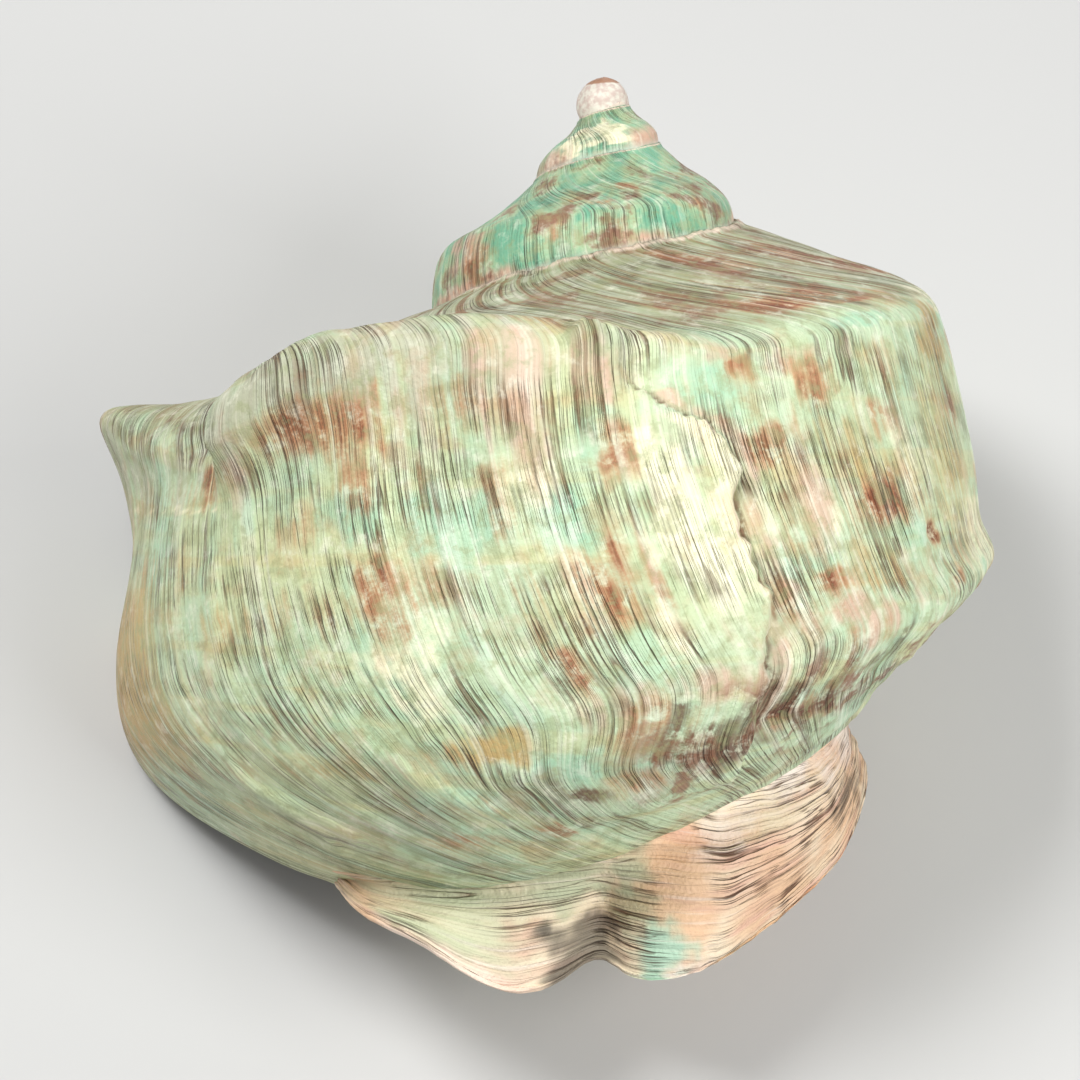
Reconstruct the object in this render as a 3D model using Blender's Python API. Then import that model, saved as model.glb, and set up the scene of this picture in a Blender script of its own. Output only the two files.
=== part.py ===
"""A great green turban: a heavy sea-snail shell, lying on its mouth as on a table.

The shell is a tube wound round an axis. Each turn is WHORL_GROWTH times the size of the last. The tube's
outline, in the half plane through the axis, is given at six stages of growth, and it changes smoothly
between them. A fluted apron flares out under the last turn, and the mouth is a true hollow that winds
inwards for more than half a turn. Lengths are in metres.
"""

import math

import bmesh
import bpy
import numpy as np
from mathutils import Matrix, Vector

MM = 0.001

# Growth. A turn counts from 0 where the last whorl passes the left side of the upright shell.
WHORL_GROWTH = 2.4
APEX_TURN = -3.45
LIP_TURN = 0.042
SEAM_TURNS = (-2.78, -2.08, -1.38, -0.70)
SEAM_OVERLAP = 0.055
SEAM_STEP = 0.006
HOLLOW_TURN = -0.60

# Each outline runs from the suture over the ramp, the shoulder and the side to the base and the axis. Its
# points are (radius, depth below the apex) in mm, at the size that they would have at the mouth.
EARLY_OUTLINE = (
    (30.5, 42), (48, 65), (66, 79), (79, 93), (83.5, 106), (84, 118), (82, 130), (78, 141),
    (73, 150), (66, 157), (57, 162), (45, 165), (30, 166), (5, 158), (4, 62),
)
MIDDLE_OUTLINE = (
    (30, 42), (50, 62), (67, 74), (79, 85), (84, 94), (86, 104), (86, 118), (83, 131),
    (78, 143), (70, 153), (60, 160), (48, 165), (32, 166), (5, 158), (4, 62),
)
SPIRE_OUTLINE = (
    (30, 43), (50, 60), (66.5, 71), (78, 77.5), (82, 88), (83.5, 104), (83, 118), (81, 132),
    (78, 144), (72, 154), (63, 161), (50, 165), (33, 166), (5, 158), (4, 62),
)
SIDE_OUTLINE = (
    (31, 41.5), (64, 54), (82, 61), (90, 66.5), (93.5, 75), (97, 90), (101, 112), (102, 128),
    (104, 140.5), (94.5, 149), (82, 158), (74, 168), (64, 177), (5, 166), (4, 62),
)
FRONT_OUTLINE = (
    (30, 42), (63, 54.5), (83.5, 64), (94, 70.5), (97.5, 78), (100, 92), (102.5, 112), (103.5, 131),
    (101, 146), (94, 158), (84, 168), (72, 175), (55, 177), (5, 165), (4, 62),
)
MOUTH_OUTLINE = (
    (29, 43.5), (62, 54.5), (83, 63.5), (92.5, 70.5), (92, 79), (94, 92), (97, 107), (96.5, 120),
    (92, 130), (85, 138.5), (76, 147), (68, 154), (57, 158.5), (5, 155), (4, 62),
)
STAGES = (
    (-2.0, EARLY_OUTLINE), (-1.5, MIDDLE_OUTLINE), (-1.0, SPIRE_OUTLINE), (-0.5, SIDE_OUTLINE),
    (-0.25, FRONT_OUTLINE), (0.0, MOUTH_OUTLINE),
)
# How far each point of a growth line runs ahead of its shoulder, in degrees round the axis.
LINE_LEAD = (50, 28, 9, 0, -1, -2, -5, -9, -14, -20, -30, -42, -50, -45, 0)
LEAN_REACH = 0.42

# Rows of faces along the outline, as places between its points.
BODY_ROWS = (
    0, 0.35, 0.7, 1.05, 1.4, 1.8, 2.2, 2.5, 2.75, 3, 3.25, 3.5, 3.8, 4.2, 4.7, 5.3, 5.9, 6.5, 7.1, 7.5,
    7.8, 8.1, 8.5, 9, 9.5, 10, 10.5, 11, 11.5, 12, 13, 14,
)
SPIRE_ROWS = (0, 0.5, 1, 1.6, 2.2, 2.7, 3.2, 3.8, 4.4, 5, 5.6, 6.2, 7, 9, 12, 13, 14)
HOLLOW_ROWS = (
    0.45, 0.9, 1.4, 1.9, 2.4, 2.85, 3.3, 3.8, 4.6, 5.5, 6.4, 7.3, 8.1, 8.9, 9.6, 10.3, 11, 11.6, 12.2,
)
BODY_STEP = 0.0152
SPIRE_STEP = 0.042

# Knobs on the shoulder: (turn, place on the outline, reach back, reach ahead, reach across, lift, swell).
KNOBS = (
    (0.020, 3.0, 0.042, 0.060, 1.0, 10.0, 6.5),
    (-0.148, 2.8, 0.080, 0.026, 1.1, 9.5, 4.5),
    (-0.080, 2.9, 0.026, 0.026, 1.2, -3.5, -1.5),
    (-0.246, 3.2, 0.030, 0.014, 0.5, 4.5, 3.0),
    (-0.475, 7.9, 0.030, 0.045, 0.6, 0.0, 1.8),
    (-0.400, 7.9, 0.030, 0.030, 0.5, 0.0, 1.2),
)
# Growth breaks: (place on the outline, turn) along the break, then the step's height in mm.
BREAK_LINES = (
    (((2.4, -0.222), (3.2, -0.250), (3.8, -0.256), (4.6, -0.268), (5.6, -0.283), (7, -0.294),
      (8.5, -0.300), (9.5, -0.302)), 3.6, 0.075),
    (((6.8, -0.082), (7.6, -0.090), (8.6, -0.108), (9.6, -0.135)), 1.6, 0.030),
)
BREAK_WIDTH = 0.008
BREAK_TURNS = (-0.281, -0.2755, -0.270, -0.2645, -0.259, -0.2535, -0.248, -0.2425)

# Wall of the last whorl, in mm at the mouth's size.
LIP_WALL = 2.6
INNER_WALL = 5.0
WALL_GROWS = 0.10
COLUMELLA_SIDE = ((30, 8.0), (20, 16.0), (17.5, 48.0), (18.0, 82.0), (23, 101.0))

# The column round the axis: (depth, radius) in mm.
COLUMN = (
    (5, 0.4), (30, 3.0), (50, 6.0), (65, 10.0), (80, 13.0), (100, 14.5), (118, 15.0), (132, 13.0), (143, 9.5),
    (150, 5.0),
)

# The worn tip: a blunt ball, as (sideways, forwards, depth) and its half sizes in mm.
TIP_CENTER = (-1.1, 0.0, 5.7)
TIP_SIZE = (5.2, 4.9, 5.5)

# The apron under the last whorl: (azimuth in degrees, edge radius, edge depth, groove radius, groove depth,
# bulge of its face, how much of it is solid to the axis).
APRON = (
    (-58, 64, 148.5, 62, 146, 0.0, 0.00),
    (-50, 66.3, 151.8, 60, 147.5, 0.0, 0.00),
    (-42, 65.8, 154.5, 57, 149, 0.3, 0.00),
    (-34, 64.5, 158.5, 53, 149, 0.8, 0.00),
    (-30, 60, 164, 51, 148.5, 1.5, 0.00),
    (-25, 54, 167.5, 49.5, 148, 2.5, 0.05),
    (-19, 49.5, 166.5, 47.5, 147, 1.0, 0.15),
    (-13, 44, 163.3, 46, 146, -2.5, 0.30),
    (-9, 42.5, 162.8, 45, 145, -3.5, 0.45),
    (-3, 44.5, 165.5, 44.5, 143.5, -1.0, 0.65),
    (3, 46, 166.3, 44, 142, 1.0, 0.80),
    (11, 46.5, 165.2, 43, 139.5, 2.5, 0.95),
    (21, 43.5, 163, 42, 136, 3.0, 1.00),
    (32, 44, 158.3, 41, 133, 3.0, 1.00),
    (45, 44, 153, 40, 129, 2.5, 1.00),
    (60, 44.3, 147, 38.5, 124.5, 2.0, 1.00),
    (75, 45, 138.5, 37, 119, 1.5, 1.00),
    (90, 45.5, 132, 35.5, 114.5, 1.0, 1.00),
    (108, 41.5, 126, 32, 109.5, 0.5, 1.00),
    (126, 34, 123.5, 27, 106, 0.0, 1.00),
    (142, 24, 124, 19, 104, 0.0, 1.00),
    (158, 13, 126, 11, 104, 0.0, 1.00),
)

# The shell lies on its mouth. Its upright axis is leaned back, rolled, and then turned on the table.
REST_LEAN = -60.219
REST_ROLL = -10.663
REST_TURN = -12.240

SHELL_COLOR = (0.42, 0.50, 0.36, 1.0)
PEARL_COLOR = (0.80, 0.80, 0.74, 1.0)


def clear_scene():
    """Removes every object, mesh, material and collection that is in the file."""
    for item in list(bpy.data.objects):
        bpy.data.objects.remove(item, do_unlink=True)
    for group in (bpy.data.meshes, bpy.data.materials, bpy.data.collections):
        for item in list(group):
            group.remove(item)


def make_material(name, color, roughness):
    """Makes a plain Principled material."""
    material = bpy.data.materials.new(name)
    material.use_nodes = True
    shader = material.node_tree.nodes["Principled BSDF"]
    shader.inputs["Base Color"].default_value = color
    shader.inputs["Roughness"].default_value = roughness
    material.diffuse_color = color
    return material


def spline(points, place):
    """Returns the point of a smooth curve through the points, at a place counted in points."""
    last = len(points) - 1
    place = min(max(place, 0.0), last - 1e-9)
    index = int(place)
    part = place - index
    before = np.asarray(points[max(index - 1, 0)], float)
    start = np.asarray(points[index], float)
    end = np.asarray(points[index + 1], float)
    after = np.asarray(points[min(index + 2, last)], float)
    linear = end - before
    square = 2 * before - 5 * start + 4 * end - after
    cube = 3 * start - before - 3 * end + after
    return 0.5 * (2 * start + linear * part + square * part**2 + cube * part**3)


def smooth_step(value):
    """Returns 0 below 0, 1 above 1, and an S-shaped rise between."""
    value = min(max(value, 0.0), 1.0)
    return value * value * (3 - 2 * value)


def plain_outline(turn, place):
    """Returns the outline's radius and depth in mm at the mouth's size, without knobs or breaks."""
    result = spline(STAGES[0][1], place)
    for (turn_a, outline_a), (turn_b, outline_b) in zip(STAGES, STAGES[1:]):
        share = smooth_step((turn - turn_a) / (turn_b - turn_a))
        result = result + (spline(outline_b, place) - spline(outline_a, place)) * share
    return result


def outward(turn, place):
    """Returns the direction out of the outline, in the half plane through the axis."""
    ahead = plain_outline(turn, min(place + 0.3, 14))
    behind = plain_outline(turn, max(place - 0.3, 0))
    along = ahead - behind
    normal = np.array((along[1], -along[0]))
    return normal / max(np.linalg.norm(normal), 1e-9)


def bell(value):
    """Returns a smooth hump that is 1 at 0 and 0 beyond 1."""
    return (1 - value * value) ** 2 if abs(value) < 1 else 0.0


def knob_shift(turn, place):
    """Returns how far the knobs move the outline, as radius and depth."""
    shift = np.zeros(2)
    for knob_turn, knob_place, back, ahead, across, lift, swell in KNOBS:
        reach = back if turn < knob_turn else ahead
        size = bell((turn - knob_turn) / (reach * 1.5)) * bell((place - knob_place) / (across * 1.8))
        shift = shift + size * np.array((swell, -lift))
    return shift


def break_height(turn, place):
    """Returns how far the growth breaks lift the surface at a place."""
    height = 0.0
    for line, step, fade in BREAK_LINES:
        places = [point[0] for point in line]
        if places[0] - 0.6 < place < places[-1] + 0.8:
            line_turn = np.interp(place, places, [point[1] for point in line])
            start = smooth_step((place - places[0] + 0.6) / 0.6)
            end = smooth_step((places[-1] + 0.8 - place) / 0.8)
            ends = min(start, end)
            rise = smooth_step((turn - line_turn) / BREAK_WIDTH + 0.5)
            fall = 1 - smooth_step((turn - line_turn - fade * 0.3) / fade)
            height += step * rise * fall * ends
    return height


def outline(turn, place, wall=0.0, relief=1.0):
    """Returns the outline with its knobs and breaks, or the inner face at the given depth under it."""
    point = plain_outline(turn, place) + knob_shift(turn, place) * relief
    height = break_height(turn, place) * relief - wall
    return point + outward(turn, place) * height


def to_space(turn, point):
    """Turns a radius and depth at the mouth's size into a place beside the upright axis, in metres."""
    size = WHORL_GROWTH**turn * MM
    angle = math.radians(-90 - 360 * turn)
    return Vector((point[0] * size * math.sin(angle), -point[0] * size * math.cos(angle), -point[1] * size))


def lead(place):
    """Returns how many turns a growth line runs ahead of its shoulder at a place on the outline."""
    return float(spline(LINE_LEAD, place)) / 360


def add_loft(name, rings, material, caps=True):
    """Makes a closed solid through rings of points. Each ring has the same number of points."""
    mesh = bpy.data.meshes.new(name)
    body = bmesh.new()
    rows = [[body.verts.new(point) for point in ring] for ring in rings]
    count = len(rings[0])
    for row_a, row_b in zip(rows, rows[1:]):
        for i in range(count):
            j = (i + 1) % count
            body.faces.new((row_a[i], row_a[j], row_b[j], row_b[i]))
    if caps:
        for row, flip in ((rows[0], False), (rows[-1], True)):
            center = Vector((0.0, 0.0, 0.0))
            for vert in row:
                center += vert.co / count
            middle = body.verts.new(center)
            for i in range(count):
                j = (i + 1) % count
                corners = (row[j], row[i], middle) if not flip else (row[i], row[j], middle)
                body.faces.new(corners)
    bmesh.ops.triangulate(body, faces=body.faces[:], quad_method="SHORT_EDGE")
    bmesh.ops.recalc_face_normals(body, faces=body.faces[:])
    if body.calc_volume(signed=True) < 0:
        bmesh.ops.reverse_faces(body, faces=body.faces[:])
    body.to_mesh(mesh)
    body.free()
    mesh.materials.append(material)
    item = bpy.data.objects.new(name, mesh)
    return item


def turns_between(start, end, step):
    """Returns evenly spaced turns from start to end."""
    count = max(2, round((end - start) / step) + 1)
    return [start + (end - start) * i / (count - 1) for i in range(count)]


def body_rings():
    """Returns the rings of the last whorl: out along its skin, over the lip, and back along its hollow."""
    rings = []
    turns = turns_between(SEAM_TURNS[-1], LIP_TURN, BODY_STEP)
    turns = [turn for turn in turns if not BREAK_TURNS[0] - 0.004 < turn < BREAK_TURNS[-1] + 0.004]
    for turn in sorted(turns + list(BREAK_TURNS)):
        lean = smooth_step((turn - SEAM_TURNS[-1]) / LEAN_REACH)
        shrink = 1 - SEAM_STEP * (1 - smooth_step((turn - SEAM_TURNS[-1]) / (2 * SEAM_OVERLAP)))
        ring = []
        for place in BODY_ROWS:
            local = turn + lead(place) * lean
            ring.append(to_space(local, outline(local, place) * shrink))
        rings.append(ring)
    return rings


def hollow_rings():
    """Returns the rings of the mouth's hollow, from the lip inwards."""
    rings = []
    for turn in reversed(turns_between(HOLLOW_TURN, LIP_TURN, BODY_STEP * 2)):
        lean = smooth_step((turn - HOLLOW_TURN) / LEAN_REACH)
        wall = LIP_WALL + (INNER_WALL - LIP_WALL) * smooth_step((LIP_TURN - turn) / WALL_GROWS)
        ring = []
        for place in HOLLOW_ROWS:
            local = turn + lead(place) * lean
            ring.append(to_space(local, outline(local, place, wall, 0.75)))
        last = turn + lead(HOLLOW_ROWS[-1]) * lean
        floor = outline(last, HOLLOW_ROWS[-1], wall, 0.75)[1]
        first = turn + lead(HOLLOW_ROWS[0]) * lean
        for number, (radius, rise) in enumerate(COLUMELLA_SIDE):
            share = (number + 1) / (len(COLUMELLA_SIDE) + 1)
            local = last + (first - last) * share
            ring.append(to_space(local, (radius, floor - rise)))
        rings.append(ring)
    return rings


def add_body(material, pearl):
    """Makes the last whorl as one closed wall round its hollow."""
    outer = body_rings()
    inner = hollow_rings()
    mesh = bpy.data.meshes.new("last_whorl")
    body = bmesh.new()
    skin = [[body.verts.new(point) for point in ring] for ring in outer]
    pearl_rows = [[body.verts.new(point) for point in ring] for ring in inner]
    for rows in (skin, pearl_rows):
        count = len(rows[0])
        for row_a, row_b in zip(rows, rows[1:]):
            for i in range(count):
                j = (i + 1) % count
                face = body.faces.new((row_a[i], row_a[j], row_b[j], row_b[i]))
                face.material_index = 0 if rows is skin else 1
    for row, index in ((skin[0], 0), (pearl_rows[-1], 1)):
        center = sum((vert.co for vert in row), Vector()) / len(row)
        middle = body.verts.new(center)
        for i in range(len(row)):
            face = body.faces.new((row[i], row[(i + 1) % len(row)], middle))
            face.material_index = index
    bridge_rims(body, skin[-1], pearl_rows[0])
    bmesh.ops.triangulate(body, faces=body.faces[:], quad_method="SHORT_EDGE")
    bmesh.ops.recalc_face_normals(body, faces=body.faces[:])
    if body.calc_volume(signed=True) < 0:
        bmesh.ops.reverse_faces(body, faces=body.faces[:])
    body.to_mesh(mesh)
    body.free()
    mesh.materials.append(material)
    mesh.materials.append(pearl)
    return bpy.data.objects.new("last_whorl", mesh)


def bridge_rims(body, outer, inner):
    """Joins the outer rim of the lip to the rim of the hollow with triangles, walking both by row number."""
    outer_places = [place / 14 for place in BODY_ROWS]
    extra = len(COLUMELLA_SIDE)
    inner_places = [place / 14 for place in HOLLOW_ROWS]
    inner_places += [(12.4 + 1.5 * (i + 1) / extra) / 14 for i in range(extra)]
    outer_places.append(1.0 + outer_places[0] + 0.001)
    inner_places.append(1.0 + inner_places[0])
    i = 0
    j = 0
    while i < len(outer) or j < len(inner):
        step_outer = j >= len(inner) or (i < len(outer) and outer_places[i + 1] <= inner_places[j + 1])
        if step_outer:
            body.faces.new((outer[i % len(outer)], outer[(i + 1) % len(outer)], inner[j % len(inner)]))
            i += 1
        else:
            body.faces.new((inner[(j + 1) % len(inner)], inner[j % len(inner)], outer[i % len(outer)]))
            j += 1


def spire_rings(start, end, first):
    """Returns the rings of one stretch of the spire, which is solid."""
    rings = []
    for turn in turns_between(start, end, SPIRE_STEP):
        shrink = 1.0 if first else 1 - SEAM_STEP * (1 - smooth_step((turn - start) / (2 * SEAM_OVERLAP)))
        rings.append([to_space(turn, outline(turn, place) * shrink) for place in SPIRE_ROWS])
    return rings


def column_rings():
    """Returns the rings of the column round the axis."""
    rings = []
    for depth, radius in COLUMN:
        ring = []
        for i in range(16):
            angle = 2 * math.pi * i / 16
            ring.append(Vector((radius * math.cos(angle), radius * math.sin(angle), -depth)) * MM)
        rings.append(ring)
    return rings


def tip_rings():
    """Returns the rings of the worn tip, from its top down."""
    rings = []
    for level in range(1, 8):
        slope = math.pi * level / 8
        ring = []
        for i in range(14):
            angle = 2 * math.pi * i / 14
            ring.append(Vector((
                TIP_CENTER[0] + TIP_SIZE[0] * math.sin(slope) * math.cos(angle),
                TIP_CENTER[1] + TIP_SIZE[1] * math.sin(slope) * math.sin(angle),
                TIP_SIZE[2] * math.cos(slope) - TIP_CENTER[2],
            )) * MM)
        rings.append(ring)
    return rings


def apron_section(azimuth):
    """Returns the apron's section at an azimuth: up in the floor, down its face, round its edge and back."""
    angles = [row[0] for row in APRON]
    values = [np.interp(azimuth, angles, [row[k] for row in APRON]) for k in range(1, 7)]
    edge_r, edge_z, groove_r, groove_z, bulge, solid = values
    face = np.array((edge_r - groove_r, edge_z - groove_z))
    length = max(np.linalg.norm(face), 1.0)
    out = np.array((face[1], -face[0])) / length
    back = -out
    groove = np.array((groove_r, groove_z))
    edge = np.array((edge_r, edge_z))
    thick = 2.6
    top = groove + back * 1.2 - np.array((0.0, 2.2))
    thin_top = top + back * 1.6
    points = [
        top,
        groove + face * 0.15 + out * bulge * 0.3,
        groove + face * 0.40 + out * bulge,
        groove + face * 0.70 + out * bulge * 0.7,
        edge,
        edge + back * thick * 0.8 - face / length * 0.3,
    ]
    low = groove + face * 0.70 + back * thick
    thin_low = groove + face * 0.30 + back * thick
    deep_low = np.array((edge_r * 0.55, edge_z - 3.0 * solid - 2.0))
    deep_in = np.array((6.0, 151.0 - 0.10 * max(azimuth - 40, 0)))
    deep_top = np.array((3.0, 118.0 - 0.10 * max(azimuth, 0)))
    points.append(low * (1 - solid) + deep_low * solid)
    points.append(thin_low * (1 - solid) + deep_in * solid)
    points.append(thin_top * (1 - solid) + deep_top * solid)
    return points


def apron_rings():
    """Returns the rings of the apron, one for each few degrees."""
    rings = []
    azimuth = APRON[0][0]
    while azimuth <= APRON[-1][0]:
        angle = math.radians(azimuth)
        ring = []
        for radius, depth in apron_section(azimuth):
            ring.append(Vector((radius * math.sin(angle), -radius * math.cos(angle), -depth)) * MM)
        rings.append(ring)
        azimuth += 3.0 if azimuth < 24 else 6.0
    return rings


def rest_matrix():
    """Returns the turn that lays the upright shell down on its mouth."""
    lean = Matrix.Rotation(math.radians(REST_LEAN), 3, "X")
    roll = Matrix.Rotation(math.radians(REST_ROLL), 3, "Y")
    turn = Matrix.Rotation(math.radians(REST_TURN), 3, "Z")
    return turn @ lean @ roll


def join_solid(target, tool, tools):
    """Joins a solid to the target with a live Boolean."""
    tools.objects.link(tool)
    tool.hide_render = True
    tool.display_type = "WIRE"
    modifier = target.modifiers.new("join_" + tool.name, "BOOLEAN")
    modifier.operation = "UNION"
    modifier.solver = "EXACT"
    modifier.object = tool


def lay_down(items):
    """Turns every mesh to the resting pose, and puts the origin under the middle of the shell."""
    turn = rest_matrix().to_4x4()
    for item in items:
        item.data.transform(turn)
    bpy.context.view_layer.update()
    depsgraph = bpy.context.evaluated_depsgraph_get()
    shell = items[0].evaluated_get(depsgraph)
    corners = np.array([vertex.co[:] for vertex in shell.data.vertices])
    low = corners.min(axis=0)
    high = corners.max(axis=0)
    move = Matrix.Translation((-(low[0] + high[0]) / 2, -(low[1] + high[1]) / 2, -low[2]))
    for item in items:
        item.data.transform(move)


def main():
    """Builds the shell."""
    clear_scene()
    skin = make_material("shell_skin", SHELL_COLOR, 0.35)
    pearl = make_material("mother_of_pearl", PEARL_COLOR, 0.2)
    group = bpy.data.collections.new("turban_shell")
    tools = bpy.data.collections.new("tools")
    bpy.context.scene.collection.children.link(group)
    bpy.context.scene.collection.children.link(tools)

    shell = add_body(skin, pearl)
    shell.name = "turban_shell"
    group.objects.link(shell)
    items = [shell]
    items.append(add_loft("apron", apron_rings(), skin))
    items.append(add_loft("column", column_rings(), pearl))
    items.append(add_loft("worn_tip", tip_rings(), skin))
    starts = (APEX_TURN,) + SEAM_TURNS[:-1]
    for number, (start, end) in enumerate(zip(starts, SEAM_TURNS)):
        begin = start - (SEAM_OVERLAP if number else 0)
        rings = spire_rings(begin, end + SEAM_OVERLAP * 0.5, number == 0)
        items.append(add_loft(f"spire_{number + 1}", rings, skin))
    for tool in items[1:]:
        join_solid(shell, tool, tools)
    for item in items:
        for polygon in item.data.polygons:
            polygon.use_smooth = True
    lay_down(items)


if __name__ == "__main__":
    main()
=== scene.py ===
"""The looks of a great green turban shell, lying on its mouth on a pale table.

The shell is a tube wound round an axis. Its skin carries growth lines, rows of brown blotches, a growth
break and worn knobs, and its hollow is lined with mother-of-pearl. The upright shell has its axis along z
and its apex at z = 0; it is then laid down to rest. Lengths are in millimetres until they are laid down.
"""

import logging
import math
from dataclasses import dataclass
from enum import Enum

import bpy
import numpy as np
from mathutils import Matrix, Vector


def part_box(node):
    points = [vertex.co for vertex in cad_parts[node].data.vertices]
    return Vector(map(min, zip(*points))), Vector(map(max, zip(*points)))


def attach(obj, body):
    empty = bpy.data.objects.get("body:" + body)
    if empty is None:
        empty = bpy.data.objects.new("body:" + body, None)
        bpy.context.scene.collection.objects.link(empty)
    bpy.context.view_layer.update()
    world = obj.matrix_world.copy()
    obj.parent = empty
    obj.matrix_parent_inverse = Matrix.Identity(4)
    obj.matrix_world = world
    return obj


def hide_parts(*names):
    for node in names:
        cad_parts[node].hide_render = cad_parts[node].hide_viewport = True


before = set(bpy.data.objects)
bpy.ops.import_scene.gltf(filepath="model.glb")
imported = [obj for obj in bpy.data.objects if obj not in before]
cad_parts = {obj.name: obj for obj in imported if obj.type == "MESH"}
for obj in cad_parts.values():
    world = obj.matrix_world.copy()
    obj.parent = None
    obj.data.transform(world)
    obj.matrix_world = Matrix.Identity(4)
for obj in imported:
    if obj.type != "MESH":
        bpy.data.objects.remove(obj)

LOG = logging.getLogger("turban_shell")
NODE = "turban_shell"
MM = 0.001
# The way round the shell at the mouth's size, in mm.
WHORL_LENGTH = 682
Socket = bpy.types.NodeSocket
Sutures = tuple[np.ndarray, np.ndarray, np.ndarray]
Color = tuple[float, float, float, float]
Patch = tuple[float, float, float, float, float]

EARLY_OUTLINE = (
    (30.5, 42), (48, 65), (66, 79), (79, 93), (83.5, 106), (84, 118), (82, 130), (78, 141),
    (73, 150), (66, 157), (57, 162), (45, 165), (30, 166), (5, 158), (4, 62),
)
MIDDLE_OUTLINE = (
    (30, 42), (50, 62), (67, 74), (79, 85), (84, 94), (86, 104), (86, 118), (83, 131),
    (78, 143), (70, 153), (60, 160), (48, 165), (32, 166), (5, 158), (4, 62),
)
SPIRE_OUTLINE = (
    (30, 43), (50, 60), (66.5, 71), (78, 77.5), (82, 88), (83.5, 104), (83, 118), (81, 132),
    (78, 144), (72, 154), (63, 161), (50, 165), (33, 166), (5, 158), (4, 62),
)
SIDE_OUTLINE = (
    (31, 41.5), (64, 54), (82, 61), (90, 66.5), (93.5, 75), (97, 90), (101, 112), (102, 128),
    (104, 140.5), (94.5, 149), (82, 158), (74, 168), (64, 177), (5, 166), (4, 62),
)
FRONT_OUTLINE = (
    (30, 42), (63, 54.5), (83.5, 64), (94, 70.5), (97.5, 78), (100, 92), (102.5, 112), (103.5, 131),
    (101, 146), (94, 158), (84, 168), (72, 175), (55, 177), (5, 165), (4, 62),
)
MOUTH_OUTLINE = (
    (29, 43.5), (62, 54.5), (83, 63.5), (92.5, 70.5), (92, 79), (94, 92), (97, 107), (96.5, 120),
    (92, 130), (85, 138.5), (76, 147), (68, 154), (57, 158.5), (5, 155), (4, 62),
)


class Finish(Enum):
    """The finishes that the faces of a piece may have."""

    SKIN = 0
    PEARL = 1


def smooth(value: np.ndarray | float) -> np.ndarray:
    """Returns 0 below 0, 1 above 1, and an S-shaped rise between."""
    value = np.clip(value, 0.0, 1.0)
    return value * value * (3 - 2 * value)


def bell(value: np.ndarray) -> np.ndarray:
    """Returns a smooth hump that is 1 at 0 and 0 beyond 1."""
    return np.where(np.abs(value) < 1, (1 - np.minimum(value * value, 1)) ** 2, 0.0)


def curve_at(points: np.ndarray, place: np.ndarray) -> np.ndarray:
    """Finds points of a smooth curve through given points.

    Args:
        points: The given points, one row each.
        place: Where to read the curve, counted in points.

    Returns:
        The curve's points, with one more axis than place.
    """
    last = len(points) - 1
    place = np.clip(place, 0.0, last - 1e-9)
    index = place.astype(int)
    part = (place - index)[..., None]
    before = points[np.maximum(index - 1, 0)]
    start = points[index]
    end = points[index + 1]
    after = points[np.minimum(index + 2, last)]
    square = 2 * before - 5 * start + 4 * end - after
    cube = 3 * start - before - 3 * end + after
    return 0.5 * (2 * start + (end - before) * part + square * part**2 + cube * part**3)


class Noise:
    """Smooth noise that comes out the same on every run."""

    def __init__(self, seed: int) -> None:
        """Fills the noise's table from a seed."""
        self.table = np.random.default_rng(seed).random(8192)

    def at(self, x: np.ndarray, y: np.ndarray | float = 0.0) -> np.ndarray:
        """Returns noise from 0 to 1 whose lumps are one unit wide."""
        x, y = np.broadcast_arrays(np.asarray(x, float), np.asarray(y, float))
        column = np.floor(x).astype(np.int64)
        row = np.floor(y).astype(np.int64)
        share_x = smooth(x - column)
        share_y = smooth(y - row)
        corners = []
        for step_y in (0, 1):
            for step_x in (0, 1):
                key = (column + step_x) * 1619 + (row + step_y) * 31337
                corners.append(self.table[key & 8191])
        low = corners[0] + (corners[1] - corners[0]) * share_x
        high = corners[2] + (corners[3] - corners[2]) * share_x
        return low + (high - low) * share_y

    def layered(self, x: np.ndarray, y: np.ndarray | float = 0.0, layers: int = 3) -> np.ndarray:
        """Returns noise with finer lumps laid over coarse ones, from 0 to 1."""
        total = 0.0
        weight = 1.0
        whole = 0.0
        for layer in range(layers):
            total = total + weight * self.at(np.asarray(x) * 2**layer + 31.7 * layer, np.asarray(y) * 2**layer)
            whole += weight
            weight *= 0.5
        return total / whole


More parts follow.
